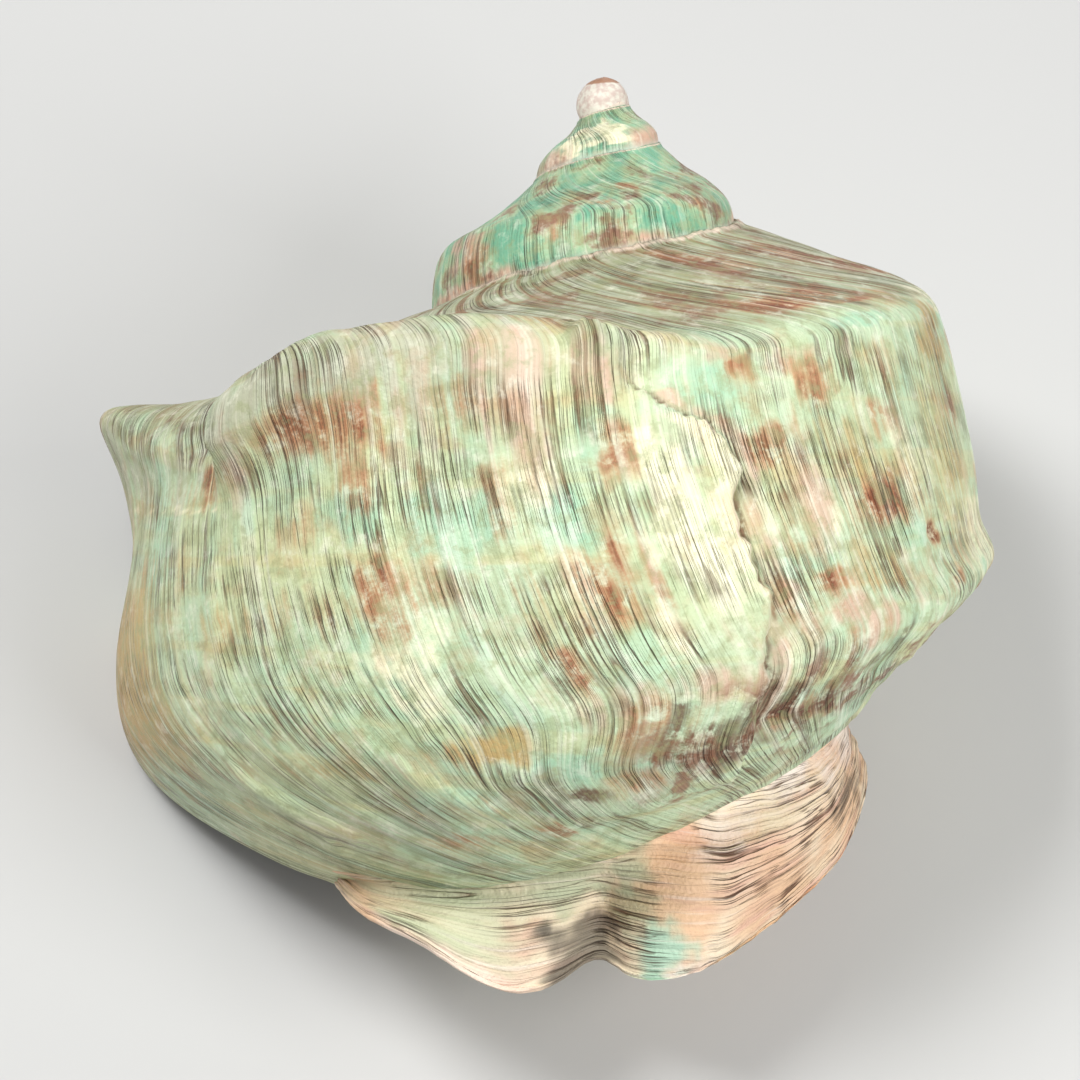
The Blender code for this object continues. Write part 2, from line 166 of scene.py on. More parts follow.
@dataclass(frozen=True)
class GrowthForm:
    """How the shell's tube grows: its outlines, knobs and growth breaks."""

    whorl_growth: float = 2.4
    apex_turn: float = -3.45
    lip_turn: float = 0.042
    stage_turns: tuple[float, ...] = (-2.0, -1.5, -1.0, -0.5, -0.25, 0.0)
    line_lead: tuple[float, ...] = (50, 28, 9, 0, -1, -2, -5, -9, -14, -20, -30, -42, -50, -45, 0)
    knobs: tuple[tuple[float, ...], ...] = (
        (0.020, 3.0, 0.042, 0.060, 1.0, 10.0, 6.5),
        (-0.148, 2.8, 0.080, 0.026, 1.1, 9.5, 4.5),
        (-0.080, 2.9, 0.026, 0.026, 1.2, -3.5, -1.5),
        (-0.246, 3.2, 0.030, 0.014, 0.5, 4.5, 3.0),
        (-0.475, 7.9, 0.030, 0.045, 0.6, 0.0, 1.8),
        (-0.400, 7.9, 0.030, 0.030, 0.5, 0.0, 1.2),
    )
    main_break: tuple[tuple[float, float], ...] = (
        (2.6, -0.232), (3.2, -0.240), (3.6, -0.246), (4.1, -0.252), (4.35, -0.257), (4.6, -0.265),
        (4.75, -0.274), (5.0, -0.281), (5.4, -0.287), (5.9, -0.286), (6.4, -0.289), (6.8, -0.294),
        (7.5, -0.294),
        (8.2, -0.293), (8.8, -0.291), (9.5, -0.290),
    )
    late_break: tuple[tuple[float, float], ...] = ((6.8, -0.082), (7.6, -0.090), (8.6, -0.108), (9.6, -0.135))

    def size(self, turn: np.ndarray) -> np.ndarray:
        """Returns how large the tube is at a turn, against its size at the mouth."""
        return self.whorl_growth**turn

    def plain(self, turn: np.ndarray, place: np.ndarray) -> np.ndarray:
        """Returns the outline's radius and depth at the mouth's size, without knobs or breaks."""
        outlines = [
            np.array(rows, float)
            for rows in (EARLY_OUTLINE, MIDDLE_OUTLINE, SPIRE_OUTLINE, SIDE_OUTLINE, FRONT_OUTLINE, MOUTH_OUTLINE)
        ]
        result = curve_at(outlines[0], place)
        for index in range(len(outlines) - 1):
            start, end = self.stage_turns[index : index + 2]
            share = smooth((turn - start) / (end - start))[..., None]
            result = result + curve_at(outlines[index + 1] - outlines[index], place) * share
        return result

    def outward(self, turn: np.ndarray, place: np.ndarray) -> np.ndarray:
        """Returns the direction out of the outline, in the half plane through the axis."""
        along = self.plain(turn, np.minimum(place + 0.3, 14)) - self.plain(turn, np.maximum(place - 0.3, 0))
        normal = np.stack((along[..., 1], -along[..., 0]), axis=-1)
        return normal / np.maximum(np.linalg.norm(normal, axis=-1, keepdims=True), 1e-9)

    def lead(self, place: np.ndarray) -> np.ndarray:
        """Returns how many turns a growth line runs ahead of its shoulder at a place on the outline."""
        return curve_at(np.array(self.line_lead, float)[:, None], place)[..., 0] / 360

    def growth(self, turn: np.ndarray, place: np.ndarray) -> np.ndarray:
        """Returns the turn at which the growth line through a point crosses the shoulder."""
        steep = 0.45 * smooth((place - 7.5) / 1.5) * (1 - smooth((turn + 0.26) / 0.12))
        return turn - self.lead(place) * (1 - steep)

    def knob_shift(self, turn: np.ndarray, place: np.ndarray) -> np.ndarray:
        """Returns how far the knobs move the outline, as radius and depth."""
        shift = np.zeros(np.broadcast(turn, place).shape + (2,))
        for knob_turn, knob_place, back, ahead, across, lift, swell in self.knobs:
            reach = np.where(turn < knob_turn, back, ahead)
            size = bell((turn - knob_turn) / (reach * 1.5)) * bell((place - knob_place) / (across * 1.8))
            shift = shift + size[..., None] * np.array((swell, -lift))
        return shift

    def break_height(self, turn: np.ndarray, place: np.ndarray, ragged: np.ndarray) -> np.ndarray:
        """Finds how far the growth breaks lift the skin.

        Args:
            turn: Turns of the points.
            place: Places of the points on the outline.
            ragged: How many turns the edge strays from its line.

        Returns:
            Heights at the mouth's size.
        """
        height = np.zeros(np.broadcast(turn, place).shape)
        # Each break's line, the step's height in mm, and the turns over which it fades and rises.
        breaks = ((self.main_break, 3.6, 0.075, 0.0032), (self.late_break, 0.6, 0.030, 0.003))
        for line, step, fade, width in breaks:
            places = [point[0] for point in line]
            line_turn = np.interp(place, places, [point[1] for point in line]) + ragged
            ends = np.minimum(smooth((place - places[0] + 0.6) / 0.6), smooth((places[-1] + 0.8 - place) / 0.8))
            rise = smooth((turn - line_turn) / width + 0.5)
            fall = 1 - smooth((turn - line_turn - fade * 0.3) / fade)
            height = height + step * rise * fall * ends
        return height

    def to_space(self, turn: np.ndarray, point: np.ndarray) -> np.ndarray:
        """Turns a radius and depth at the mouth's size into a place beside the upright axis, in mm."""
        size = self.size(turn)
        angle = np.radians(-90 - 360 * turn)
        radius = point[..., 0] * size
        return np.stack((radius * np.sin(angle), -radius * np.cos(angle), -point[..., 1] * size), axis=-1)

    def arc(self, place: np.ndarray) -> np.ndarray:
        """Returns the length along the front outline up to a place, at the mouth's size."""
        places = np.linspace(0, 14, 561)
        points = curve_at(np.array(FRONT_OUTLINE, float), places)
        lengths = np.concatenate(([0.0], np.cumsum(np.linalg.norm(np.diff(points, axis=0), axis=1))))
        return np.interp(place, places, lengths)

    def places_by_arc(self, start: float, end: float, count: int) -> np.ndarray:
        """Returns places on the outline that lie evenly along its length."""
        places = np.linspace(start, end, 800)
        lengths = self.arc(places)
        return np.interp(np.linspace(lengths[0], lengths[-1], count), lengths, places)

    def sutures(self) -> tuple[np.ndarray, np.ndarray, np.ndarray]:
        """Finds where each whorl meets the one before it.

        Returns:
            The turns looked at, the place where the skin comes out of the whorl before it, and the place
            on that earlier whorl where it is covered.
        """
        turns = np.linspace(-2.45, 0.05, 120)
        own = np.linspace(0.0, 1.6, 161)
        earlier = np.linspace(2.5, 12.0, 381)
        comes_out = []
        covered = []
        for turn in turns:
            here = self.plain(np.full(own.shape, turn), own) * self.size(turn)
            there = self.plain(np.full(earlier.shape, turn - 1), earlier) * self.size(turn - 1)
            gaps = np.linalg.norm(here[:, None] - there[None], axis=-1)
            index = np.unravel_index(np.argmin(gaps), gaps.shape)
            comes_out.append(own[index[0]])
            covered.append(earlier[index[1]])
        return turns, np.array(comes_out), np.array(covered)


@dataclass(frozen=True)
class Rest:
    """How the upright shell is laid on its mouth."""

    lean: float = -60.219
    roll: float = -10.663
    turn: float = -12.240
    shift: tuple[float, float, float] = (15.3003, 84.1734, 78.0453)

    def matrix(self) -> np.ndarray:
        """Returns the turn from upright to resting."""
        lean = Matrix.Rotation(math.radians(self.lean), 3, "X")
        roll = Matrix.Rotation(math.radians(self.roll), 3, "Y")
        turn = Matrix.Rotation(math.radians(self.turn), 3, "Z")
        return np.array(turn @ lean @ roll)

    def lay(self, points: np.ndarray) -> np.ndarray:
        """Lays upright points in mm down to rest, in metres."""
        return (points @ self.matrix().T + np.array(self.shift)) * MM


FORM = GrowthForm()
REST = Rest()
RELIEF = Noise(11)
PAINT = Noise(29)


class NodeKit:
    """Adds and joins the nodes of one material or group."""

    def __init__(self, tree: bpy.types.NodeTree) -> None:
        """Keeps the tree that the nodes go into."""
        self.tree = tree

    def feed(self, socket: Socket, value: object) -> None:
        """Joins a socket to another, or sets its own value."""
        if isinstance(value, Socket):
            self.tree.links.new(value, socket)
        else:
            socket.default_value = value

    def math(self, operation: str, first: object, second: object = 0.0, clamp: bool = False) -> Socket:
        """Adds a Math node.

        Args:
            operation: Blender's name of the operation.
            first: A socket or a number.
            second: A socket or a number.
            clamp: Whether the result stays between 0 and 1.

        Returns:
            The result's socket.
        """
        node = self.tree.nodes.new("ShaderNodeMath")
        node.operation = operation
        node.use_clamp = clamp
        self.feed(node.inputs[0], first)
        self.feed(node.inputs[1], second)
        return node.outputs[0]

    def ramp(self, value: object, low: float, high: float, start: float = 0.0, end: float = 1.0) -> Socket:
        """Adds a smooth Map Range from low..high to start..end."""
        node = self.tree.nodes.new("ShaderNodeMapRange")
        node.interpolation_type = "SMOOTHSTEP"
        self.feed(node.inputs["Value"], value)
        for name, number in (("From Min", low), ("From Max", high), ("To Min", start), ("To Max", end)):
            node.inputs[name].default_value = number
        return node.outputs[0]

    def mix(self, share: object, first: object, second: object) -> Socket:
        """Adds a colour Mix node."""
        node = self.tree.nodes.new("ShaderNodeMix")
        node.data_type = "RGBA"
        self.feed(node.inputs[0], share)
        self.feed(node.inputs[6], first)
        self.feed(node.inputs[7], second)
        return node.outputs[2]

    def vector(self, x: object, y: object, z: object = 0.0) -> Socket:
        """Puts three numbers together as a vector."""
        node = self.tree.nodes.new("ShaderNodeCombineXYZ")
        for socket, value in zip(node.inputs, (x, y, z)):
            self.feed(socket, value)
        return node.outputs[0]

    def noise(self, vector: object, scale: float, detail: float = 2.0, rough: float = 0.5) -> Socket:
        """Adds a Noise Texture and returns its plain value."""
        node = self.tree.nodes.new("ShaderNodeTexNoise")
        node.inputs["Scale"].default_value = scale
        node.inputs["Detail"].default_value = detail
        node.inputs["Roughness"].default_value = rough
        self.feed(node.inputs["Vector"], vector)
        return node.outputs[0]

    def split(self, value: Socket) -> list[Socket]:
        """Splits a vector into its three numbers."""
        node = self.tree.nodes.new("ShaderNodeSeparateXYZ")
        self.feed(node.inputs[0], value)
        return list(node.outputs)

    def attribute(self, name: str) -> list[Socket]:
        """Reads three masks from a colour attribute of the piece."""
        node = self.tree.nodes.new("ShaderNodeAttribute")
        node.attribute_name = name
        return self.split(node.outputs["Vector"])

    def growth_map(self) -> list[Socket]:
        """Reads the piece's own map: along its growth and along its growth lines, in metres."""
        node = self.tree.nodes.new("ShaderNodeUVMap")
        node.uv_map = "growth"
        return self.split(node.outputs[0])[:2]

    def group(self, tree: bpy.types.NodeTree, **values: object) -> dict[str, Socket]:
        """Places a node group and feeds its inputs by name."""
        node = self.tree.nodes.new("ShaderNodeGroup")
        node.node_tree = tree
        for name, value in values.items():
            self.feed(node.inputs[name], value)
        return {socket.name: socket for socket in node.outputs}

    def tint(self, color: object, tint: object, mask: object, share: float) -> Socket:
        """Lays a tint over a colour where a mask is, by a share of the mask."""
        return self.mix(self.math("MULTIPLY", mask, share), color, tint)

    def total(self, *terms: tuple[object, float]) -> Socket:
        """Adds up sockets, each times its weight."""
        result = 0.0
        for socket, weight in terms:
            result = self.math("ADD", result, self.math("MULTIPLY", socket, weight))
        return result

    def bump(self, shader: bpy.types.Node, height: object, distance: float, strength: float) -> None:
        """Feeds a height to the shader's normal through a Bump node."""
        node = self.tree.nodes.new("ShaderNodeBump")
        node.inputs["Distance"].default_value = distance
        node.inputs["Strength"].default_value = strength
        self.feed(node.inputs["Height"], height)
        self.feed(shader.inputs["Normal"], node.outputs[0])

    @classmethod
    def new_material(cls, name: str) -> tuple[bpy.types.Material, "NodeKit", bpy.types.Node]:
        """Starts a material and returns it with a kit for its tree and its shader."""
        material = bpy.data.materials.new(name)
        material.use_nodes = True
        return material, cls(material.node_tree), material.node_tree.nodes["Principled BSDF"]


class Effects:
    """The node groups that several finishes share, each made once."""

    def __init__(self) -> None:
        """Makes the groups."""
        self.growth_lines = self.make_growth_lines()
        self.broken_edge = self.make_broken_edge()
        self.grain = self.make_grain()

    @staticmethod
    def start(name: str, inputs: dict[str, float], outputs: list[str]) -> tuple[NodeKit, bpy.types.Node, bpy.types.Node]:
        """Starts a node group.

        Args:
            name: The group's name.
            inputs: Its number inputs and their usual values.
            outputs: Its number outputs.

        Returns:
            A kit for its tree, its input node and its output node.
        """
        tree = bpy.data.node_groups.new(name, "ShaderNodeTree")
        for label, value in inputs.items():
            socket = tree.interface.new_socket(name=label, in_out="INPUT", socket_type="NodeSocketFloat")
            socket.default_value = value
        for label in outputs:
            tree.interface.new_socket(name=label, in_out="OUTPUT", socket_type="NodeSocketFloat")
        return NodeKit(tree), tree.nodes.new("NodeGroupInput"), tree.nodes.new("NodeGroupOutput")

    def lines(self, kit: NodeKit, pitch: float, reach: float, stray: float, seed: float) -> dict[str, Socket]:
        """Places the growth lines on a piece's own growth map.

        Args:
            pitch: The width of a line, in metres.
            reach: The length of a line, in metres.
            stray: How far a line strays, in metres.
            seed: Which of the many sets of lines it is.

        Returns:
            The outputs Streak and Line.
        """
        along, across = kit.growth_map()
        return kit.group(
            self.growth_lines, Along=along, Across=across, Pitch=pitch, Reach=reach, Stray=stray, Seed=seed
        )

    def make_growth_lines(self) -> bpy.types.NodeTree:
        """Makes noise drawn out along the growth lines, and thin lines from it."""
        inputs = {"Along": 0.0, "Across": 0.0, "Pitch": 0.001, "Reach": 0.04, "Stray": 0.001, "Seed": 0.0}
        kit, given, result = self.start("growth_lines", inputs, ["Streak", "Line"])
        along, across, pitch, reach, stray, seed = given.outputs[:6]
        bend = kit.noise(kit.vector(along, across, seed), 28.0, 2.0, 0.5)
        moved = kit.math("ADD", along, kit.math("MULTIPLY", kit.math("SUBTRACT", bend, 0.5), stray))
        vector = kit.vector(kit.math("DIVIDE", moved, pitch), kit.math("DIVIDE", across, reach), seed)
        streak = kit.noise(vector, 1.0, 2.0, 0.6)
        crossing = kit.math("ABSOLUTE", kit.math("SUBTRACT", kit.noise(vector, 1.3, 1.0, 0.5), 0.5))
        patchy = kit.ramp(kit.noise(kit.vector(along, across, 8.5), 70.0, 2.0), 0.40, 0.62)
        thick = kit.ramp(kit.noise(kit.vector(along, across, 2.2), 150.0, 3.0), 0.40, 0.68, 0.014, 0.050)
        thin = kit.math("SUBTRACT", 1.0, kit.math("DIVIDE", crossing, thick), clamp=True)
        kit.feed(result.inputs["Streak"], streak)
        strength = kit.math("ADD", 0.10, kit.math("MULTIPLY", patchy, 0.90))
        kit.feed(result.inputs["Line"], kit.math("MULTIPLY", thin, strength))
        return kit.tree

    def make_broken_edge(self) -> bpy.types.NodeTree:
        """Makes a soft mask end raggedly, along streaks."""
        kit, given, result = self.start("broken_edge", {"Mask": 0.0, "Streak": 0.5, "Ragged": 0.6}, ["Mask"])
        mask, streak, ragged = given.outputs[:3]
        moved = kit.math("MULTIPLY", kit.math("SUBTRACT", streak, 0.5), ragged)
        held = kit.math("MULTIPLY", moved, kit.ramp(mask, 0.0, 0.25))
        kit.feed(result.inputs["Mask"], kit.ramp(kit.math("ADD", mask, held), 0.06, 0.98))
        return kit.tree

    def make_grain(self) -> bpy.types.NodeTree:
        """Makes a fine chalky grain from the piece's own coordinates."""
        kit, given, result = self.start("grain", {"Fine": 1400.0}, ["Grain", "Pits"])
        place = kit.tree.nodes.new("ShaderNodeTexCoord").outputs["Object"]
        node = kit.tree.nodes.new("ShaderNodeTexNoise")
        node.inputs["Detail"].default_value = 3.0
        kit.feed(node.inputs["Vector"], place)
        kit.feed(node.inputs["Scale"], given.outputs[0])
        pits = kit.noise(place, 420.0, 2.0)
        kit.feed(result.inputs["Grain"], node.outputs[0])
        kit.feed(result.inputs["Pits"], kit.ramp(pits, 0.64, 0.72))
        return kit.tree


@dataclass(frozen=True)
class SkinFinish:
    """The green outer skin with its brown blotches and growth lines."""

    mint: Color = (0.56, 0.70, 0.46, 1)
    sage: Color = (0.63, 0.69, 0.40, 1)
    ochre_green: Color = (0.66, 0.58, 0.27, 1)
    teal: Color = (0.37, 0.65, 0.45, 1)
    deep_teal: Color = (0.14, 0.42, 0.27, 1)
    moss: Color = (0.46, 0.60, 0.35, 1)
    plum: Color = (0.17, 0.075, 0.06, 1)
    cream: Color = (0.94, 0.91, 0.62, 1)
    brown: Color = (0.25, 0.075, 0.035, 1)
    tan: Color = (0.56, 0.25, 0.12, 1)
    ochre: Color = (0.58, 0.39, 0.15, 1)
    grey: Color = (0.50, 0.46, 0.35, 1)
    olive: Color = (0.36, 0.40, 0.20, 1)
    # Dark brown of the blotches; it also paints the shadow line at the foot of the growth break.
    dark: Color = (0.125, 0.046, 0.026, 1)
    line: Color = (0.17, 0.085, 0.04, 1)
    pale_line: Color = (0.98, 0.97, 0.80, 1)
    seam: Color = (0.86, 0.70, 0.56, 1)
    rosy: Color = (0.66, 0.43, 0.31, 1)
    pearl: Color = (0.82, 0.82, 0.74, 1)

    def make(self, effects: Effects) -> bpy.types.Material:
        """Makes the material.

        Args:
            effects: The shared node groups.

        Returns:
            The material.
        """
        material, kit, shader = NodeKit.new_material("turban_skin")
        along, across = kit.growth_map()
        brown, cream, teal = kit.attribute("marks_a")
        dark, ochre, seam = kit.attribute("marks_b")
        rosy, grey, pearl = kit.attribute("marks_c")
        young, slope, worn = kit.attribute("marks_d")
        broad = effects.lines(kit, 0.010, 0.05, 0.005, 1.3)
        middle = effects.lines(kit, 0.0034, 0.13, 0.004, 4.1)
        fine = effects.lines(kit, 0.0015, 0.09, 0.003, 7.7)
        hair = effects.lines(kit, 0.0007, 0.05, 0.002, 2.9)
        grain = kit.group(effects.grain, Fine=1500.0)
        place = kit.tree.nodes.new("ShaderNodeTexCoord").outputs["Object"]
        mottle = kit.noise(place, 120.0, 5.0, 0.62)
        specks = kit.noise(place, 260.0, 4.0, 0.65)
        cloud = kit.noise(place, 30.0, 4.0, 0.55)
        band_map = kit.vector(kit.math("DIVIDE", along, 0.09), kit.math("DIVIDE", across, 0.0045), 6.0)
        round_bands = kit.noise(band_map, 1.0, 2.0)

        color = kit.mix(kit.ramp(cloud, 0.44, 0.64), self.mint, self.sage)
        color = kit.tint(color, self.ochre_green, kit.ramp(round_bands, 0.50, 0.64), 0.42)
        soft_teal = kit.math("MULTIPLY", kit.ramp(broad["Streak"], 0.48, 0.66), 0.55)
        all_teal = kit.math("MAXIMUM", soft_teal, self.torn(kit, effects, teal, middle, 1.6))
        color = kit.tint(color, self.teal, all_teal, 0.85)
        bright = kit.mix(kit.ramp(mottle, 0.38, 0.58), self.deep_teal, self.moss)
        color = kit.tint(color, bright, young, 0.85)
        color = kit.tint(color, self.olive, kit.math("MULTIPLY", slope, kit.ramp(mottle, 0.30, 0.60, 0.35, 1.0)), 0.8)
        pale_spots = kit.math("MULTIPLY", cream, kit.ramp(mottle, 0.28, 0.52, 0.3, 1.1))
        color = kit.mix(self.torn(kit, effects, pale_spots, middle, 1.8), color, self.cream)
        color = kit.tint(color, self.grey, self.torn(kit, effects, grey, middle, 2.0), 0.7)
        color = kit.tint(color, self.ochre, self.torn(kit, effects, ochre, fine, 1.2), 0.9)
        color = kit.mix(self.torn(kit, effects, rosy, middle, 1.8), color, self.rosy)
        speckled = kit.math("MULTIPLY", brown, kit.ramp(specks, 0.30, 0.62, 0.55, 1.25))
        color = kit.tint(color, self.tan, self.torn(kit, effects, speckled, fine, 1.3), 0.82)
        deep = kit.math("MULTIPLY", kit.ramp(speckled, 0.45, 1.05), kit.ramp(fine["Streak"], 0.40, 0.62))
        color = kit.mix(deep, color, self.brown)
        color = kit.tint(color, self.pale_line, kit.ramp(middle["Streak"], 0.52, 0.70), 0.28)
        streaked = kit.math("MULTIPLY", slope, kit.ramp(middle["Streak"], 0.50, 0.36))
        color = kit.tint(color, self.brown, streaked, 0.8)
        color = kit.tint(color, self.olive, kit.ramp(middle["Streak"], 0.44, 0.28), 0.25)
        color = kit.tint(color, self.pale_line, kit.ramp(fine["Streak"], 0.44, 0.30), 0.30)
        quiet = kit.math("SUBTRACT", 1.0, kit.math("MULTIPLY", kit.math("MAXIMUM", cream, young), 0.6))
        for threads, share in ((middle, 0.86), (fine, 0.54), (hair, 0.30)):
            threads_share = kit.math("MULTIPLY", kit.math("MULTIPLY", threads["Line"], quiet), share)
            color = kit.mix(threads_share, color, self.line)
        spotted = kit.math("MAXIMUM", kit.math("MULTIPLY", young, 0.85), worn)
        spotted = kit.math("MAXIMUM", spotted, kit.math("MULTIPLY", slope, 0.45))
        spotty = kit.math("MULTIPLY", kit.ramp(mottle, 0.51, 0.64), spotted)
        color = kit.mix(spotty, color, self.plum)
        # Dark brown blotches, a darker line along the suture, and the painted shadow line at the foot of the growth
        # break.
        dark_marks_and_shadow = kit.math("MULTIPLY", dark, kit.ramp(specks, 0.30, 0.54, 0.2, 1.2))
        color = kit.tint(color, self.dark, self.torn(kit, effects, dark_marks_and_shadow, fine, 1.2), 0.85)
        color = kit.tint(color, self.line, grain["Pits"], 0.14)
        color = kit.tint(color, self.olive, kit.ramp(specks, 0.50, 0.64), 0.50)
        color = kit.tint(color, self.tan, kit.ramp(mottle, 0.50, 0.66), 0.24)
        color = kit.tint(color, self.pale_line, kit.ramp(specks, 0.46, 0.30), 0.34)
        crusted = kit.math("MULTIPLY", seam, kit.ramp(specks, 0.30, 0.50))
        color = kit.mix(self.torn(kit, effects, crusted, fine, 1.0), color, self.seam)
        color = kit.mix(pearl, color, self.pearl)
        kit.feed(shader.inputs["Base Color"], color)
        shader.inputs["Specular IOR Level"].default_value = 0.28

        rough = kit.math("ADD", 0.42, kit.math("MULTIPLY", kit.math("MAXIMUM", grey, dark), 0.20))
        rough = kit.math("ADD", rough, kit.math("MULTIPLY", kit.math("SUBTRACT", grain["Grain"], 0.5), 0.2))
        rough = kit.math("SUBTRACT", rough, kit.math("MULTIPLY", pearl, 0.12), clamp=True)
        kit.feed(shader.inputs["Roughness"], rough)
        height = kit.total(
            (fine["Streak"], 0.6), (middle["Streak"], 0.9), (middle["Line"], -0.8), (fine["Line"], -0.5),
            (hair["Line"], -0.25), (grain["Grain"], 0.25), (kit.math("MULTIPLY", mottle, worn), 2.5),
        )
        height = kit.math("MULTIPLY", height, kit.math("SUBTRACT", 1.0, kit.math("MULTIPLY", pearl, 0.9)))
        kit.bump(shader, height, 0.0006, 1.0)
        return material

    def torn(
        self, kit: NodeKit, effects: Effects, mask: object, streaks: dict[str, Socket], ragged: float
    ) -> Socket:
        """Returns a mask whose edge is torn along the growth lines."""
        return kit.group(effects.broken_edge, Mask=mask, Streak=streaks["Streak"], Ragged=ragged)["Mask"]


@dataclass(frozen=True)
class PearlFinish:
    """The silvery mother-of-pearl of the hollow."""

    silver: Color = (0.80, 0.80, 0.75, 1)
    rose: Color = (0.84, 0.71, 0.70, 1)
    sea: Color = (0.62, 0.79, 0.72, 1)
    gold: Color = (0.84, 0.78, 0.58, 1)

    def make(self, effects: Effects) -> bpy.types.Material:
        """Makes the material.

        Args:
            effects: The shared node groups.

        Returns:
            The material.
        """
        material, kit, shader = NodeKit.new_material("mother_of_pearl")
        place = kit.tree.nodes.new("ShaderNodeTexCoord").outputs["Object"]
        cloud = kit.noise(place, 26.0, 3.0)
        drift = kit.noise(place, 41.0, 2.0)
        layers = effects.lines(kit, 0.006, 0.05, 0.008, 9.0)
        grain = kit.group(effects.grain, Fine=900.0)
        color = kit.mix(kit.ramp(cloud, 0.42, 0.60), self.silver, self.rose)
        color = kit.tint(color, self.sea, kit.ramp(drift, 0.45, 0.62), 0.8)
        color = kit.tint(color, self.gold, kit.ramp(layers["Streak"], 0.50, 0.66), 0.45)
        kit.feed(shader.inputs["Base Color"], color)
        kit.feed(shader.inputs["Roughness"], kit.ramp(grain["Grain"], 0.3, 0.7, 0.16, 0.30))
        shader.inputs["Metallic"].default_value = 0.18
        shader.inputs["Coat Weight"].default_value = 0.35
        shader.inputs["Coat Roughness"].default_value = 0.12
        kit.bump(shader, layers["Streak"], 0.0004, 0.35)
        return material


@dataclass(frozen=True)
class ApronFinish:
    """The salmon-pink flared base with its brown lines."""

    salmon: Color = (0.90, 0.60, 0.38, 1)
    cream: Color = (0.98, 0.82, 0.60, 1)
    white: Color = (1.0, 0.88, 0.78, 1)
    pink: Color = (0.86, 0.50, 0.38, 1)
    green: Color = (0.56, 0.60, 0.40, 1)
    teal: Color = (0.52, 0.74, 0.56, 1)
    brown: Color = (0.22, 0.10, 0.06, 1)
    # Brown-black of the band; it also paints the shade in the valley between the lobes.
    dark: Color = (0.10, 0.085, 0.065, 1)

    def make(self, effects: Effects) -> bpy.types.Material:
        """Makes the material.

        Args:
            effects: The shared node groups.

        Returns:
            The material.
        """
        material, kit, shader = NodeKit.new_material("flared_base")
        along, across = kit.growth_map()
        teal, dark, green = kit.attribute("marks_a")
        white, band_and_valley_shade, pink = kit.attribute("marks_b")
        broad = effects.lines(kit, 0.006, 0.03, 0.004, 5.0)
        middle = effects.lines(kit, 0.0030, 0.05, 0.003, 6.0)
        fine = effects.lines(kit, 0.0011, 0.03, 0.002, 8.0)
        grain = kit.group(effects.grain, Fine=1500.0)
        cloud = kit.noise(kit.vector(along, across, 1.0), 45.0, 3.0)
        color = kit.mix(kit.ramp(cloud, 0.40, 0.60), self.salmon, self.cream)
        color = kit.tint(color, self.pink, kit.ramp(broad["Streak"], 0.52, 0.66), 0.6)
        for mask, tint in ((pink, self.pink), (white, self.white), (green, self.green), (teal, self.teal)):
            torn = kit.group(effects.broken_edge, Mask=mask, Streak=middle["Streak"], Ragged=0.9)["Mask"]
            color = kit.mix(torn, color, tint)
        color = kit.tint(color, self.brown, middle["Line"], 0.95)
        color = kit.tint(color, self.brown, fine["Line"], 0.60)
        color = kit.tint(color, self.white, kit.ramp(fine["Streak"], 0.42, 0.30), 0.4)
        # Tints the brown band and the painted shade of the valley between the lobes with self.dark.
        for mask, ragged in ((band_and_valley_shade, 2.2), (dark, 1.3)):
            torn = kit.group(effects.broken_edge, Mask=mask, Streak=fine["Streak"], Ragged=ragged)["Mask"]
            color = kit.tint(color, self.dark, torn, 0.8)
        kit.feed(shader.inputs["Base Color"], color)
        kit.feed(shader.inputs["Roughness"], kit.ramp(grain["Grain"], 0.3, 0.7, 0.42, 0.62))
        shader.inputs["Specular IOR Level"].default_value = 0.3
        height = kit.total(
            (middle["Streak"], 1.4), (middle["Line"], -0.7), (fine["Line"], -0.4), (grain["Grain"], 0.3)
        )
        kit.bump(shader, height, 0.0010, 1.0)
        return material


@dataclass(frozen=True)
class TipFinish:
    """The worn, chalky tip of the spire."""

    chalk: Color = (0.74, 0.70, 0.60, 1)
    rose: Color = (0.60, 0.48, 0.42, 1)
    brown: Color = (0.38, 0.20, 0.12, 1)

    def make(self, effects: Effects) -> bpy.types.Material:
        """Makes the material.

        Args:
            effects: The shared node groups.

        Returns:
            The material.
        """
        material, kit, shader = NodeKit.new_material("worn_tip")
        top = kit.attribute("marks_a")[0]
        grain = kit.group(effects.grain, Fine=900.0)
        color = kit.mix(kit.ramp(grain["Grain"], 0.35, 0.65), self.chalk, self.rose)
        top_edge = kit.math("ADD", top, kit.math("MULTIPLY", grain["Grain"], 0.4))
        color = kit.mix(kit.ramp(top_edge, 0.6, 0.9), color, self.brown)
        kit.feed(shader.inputs["Base Color"], color)
        kit.feed(shader.inputs["Roughness"], kit.ramp(grain["Grain"], 0.3, 0.7, 0.45, 0.65))
        kit.bump(shader, grain["Grain"], 0.0004, 0.5)
        return material


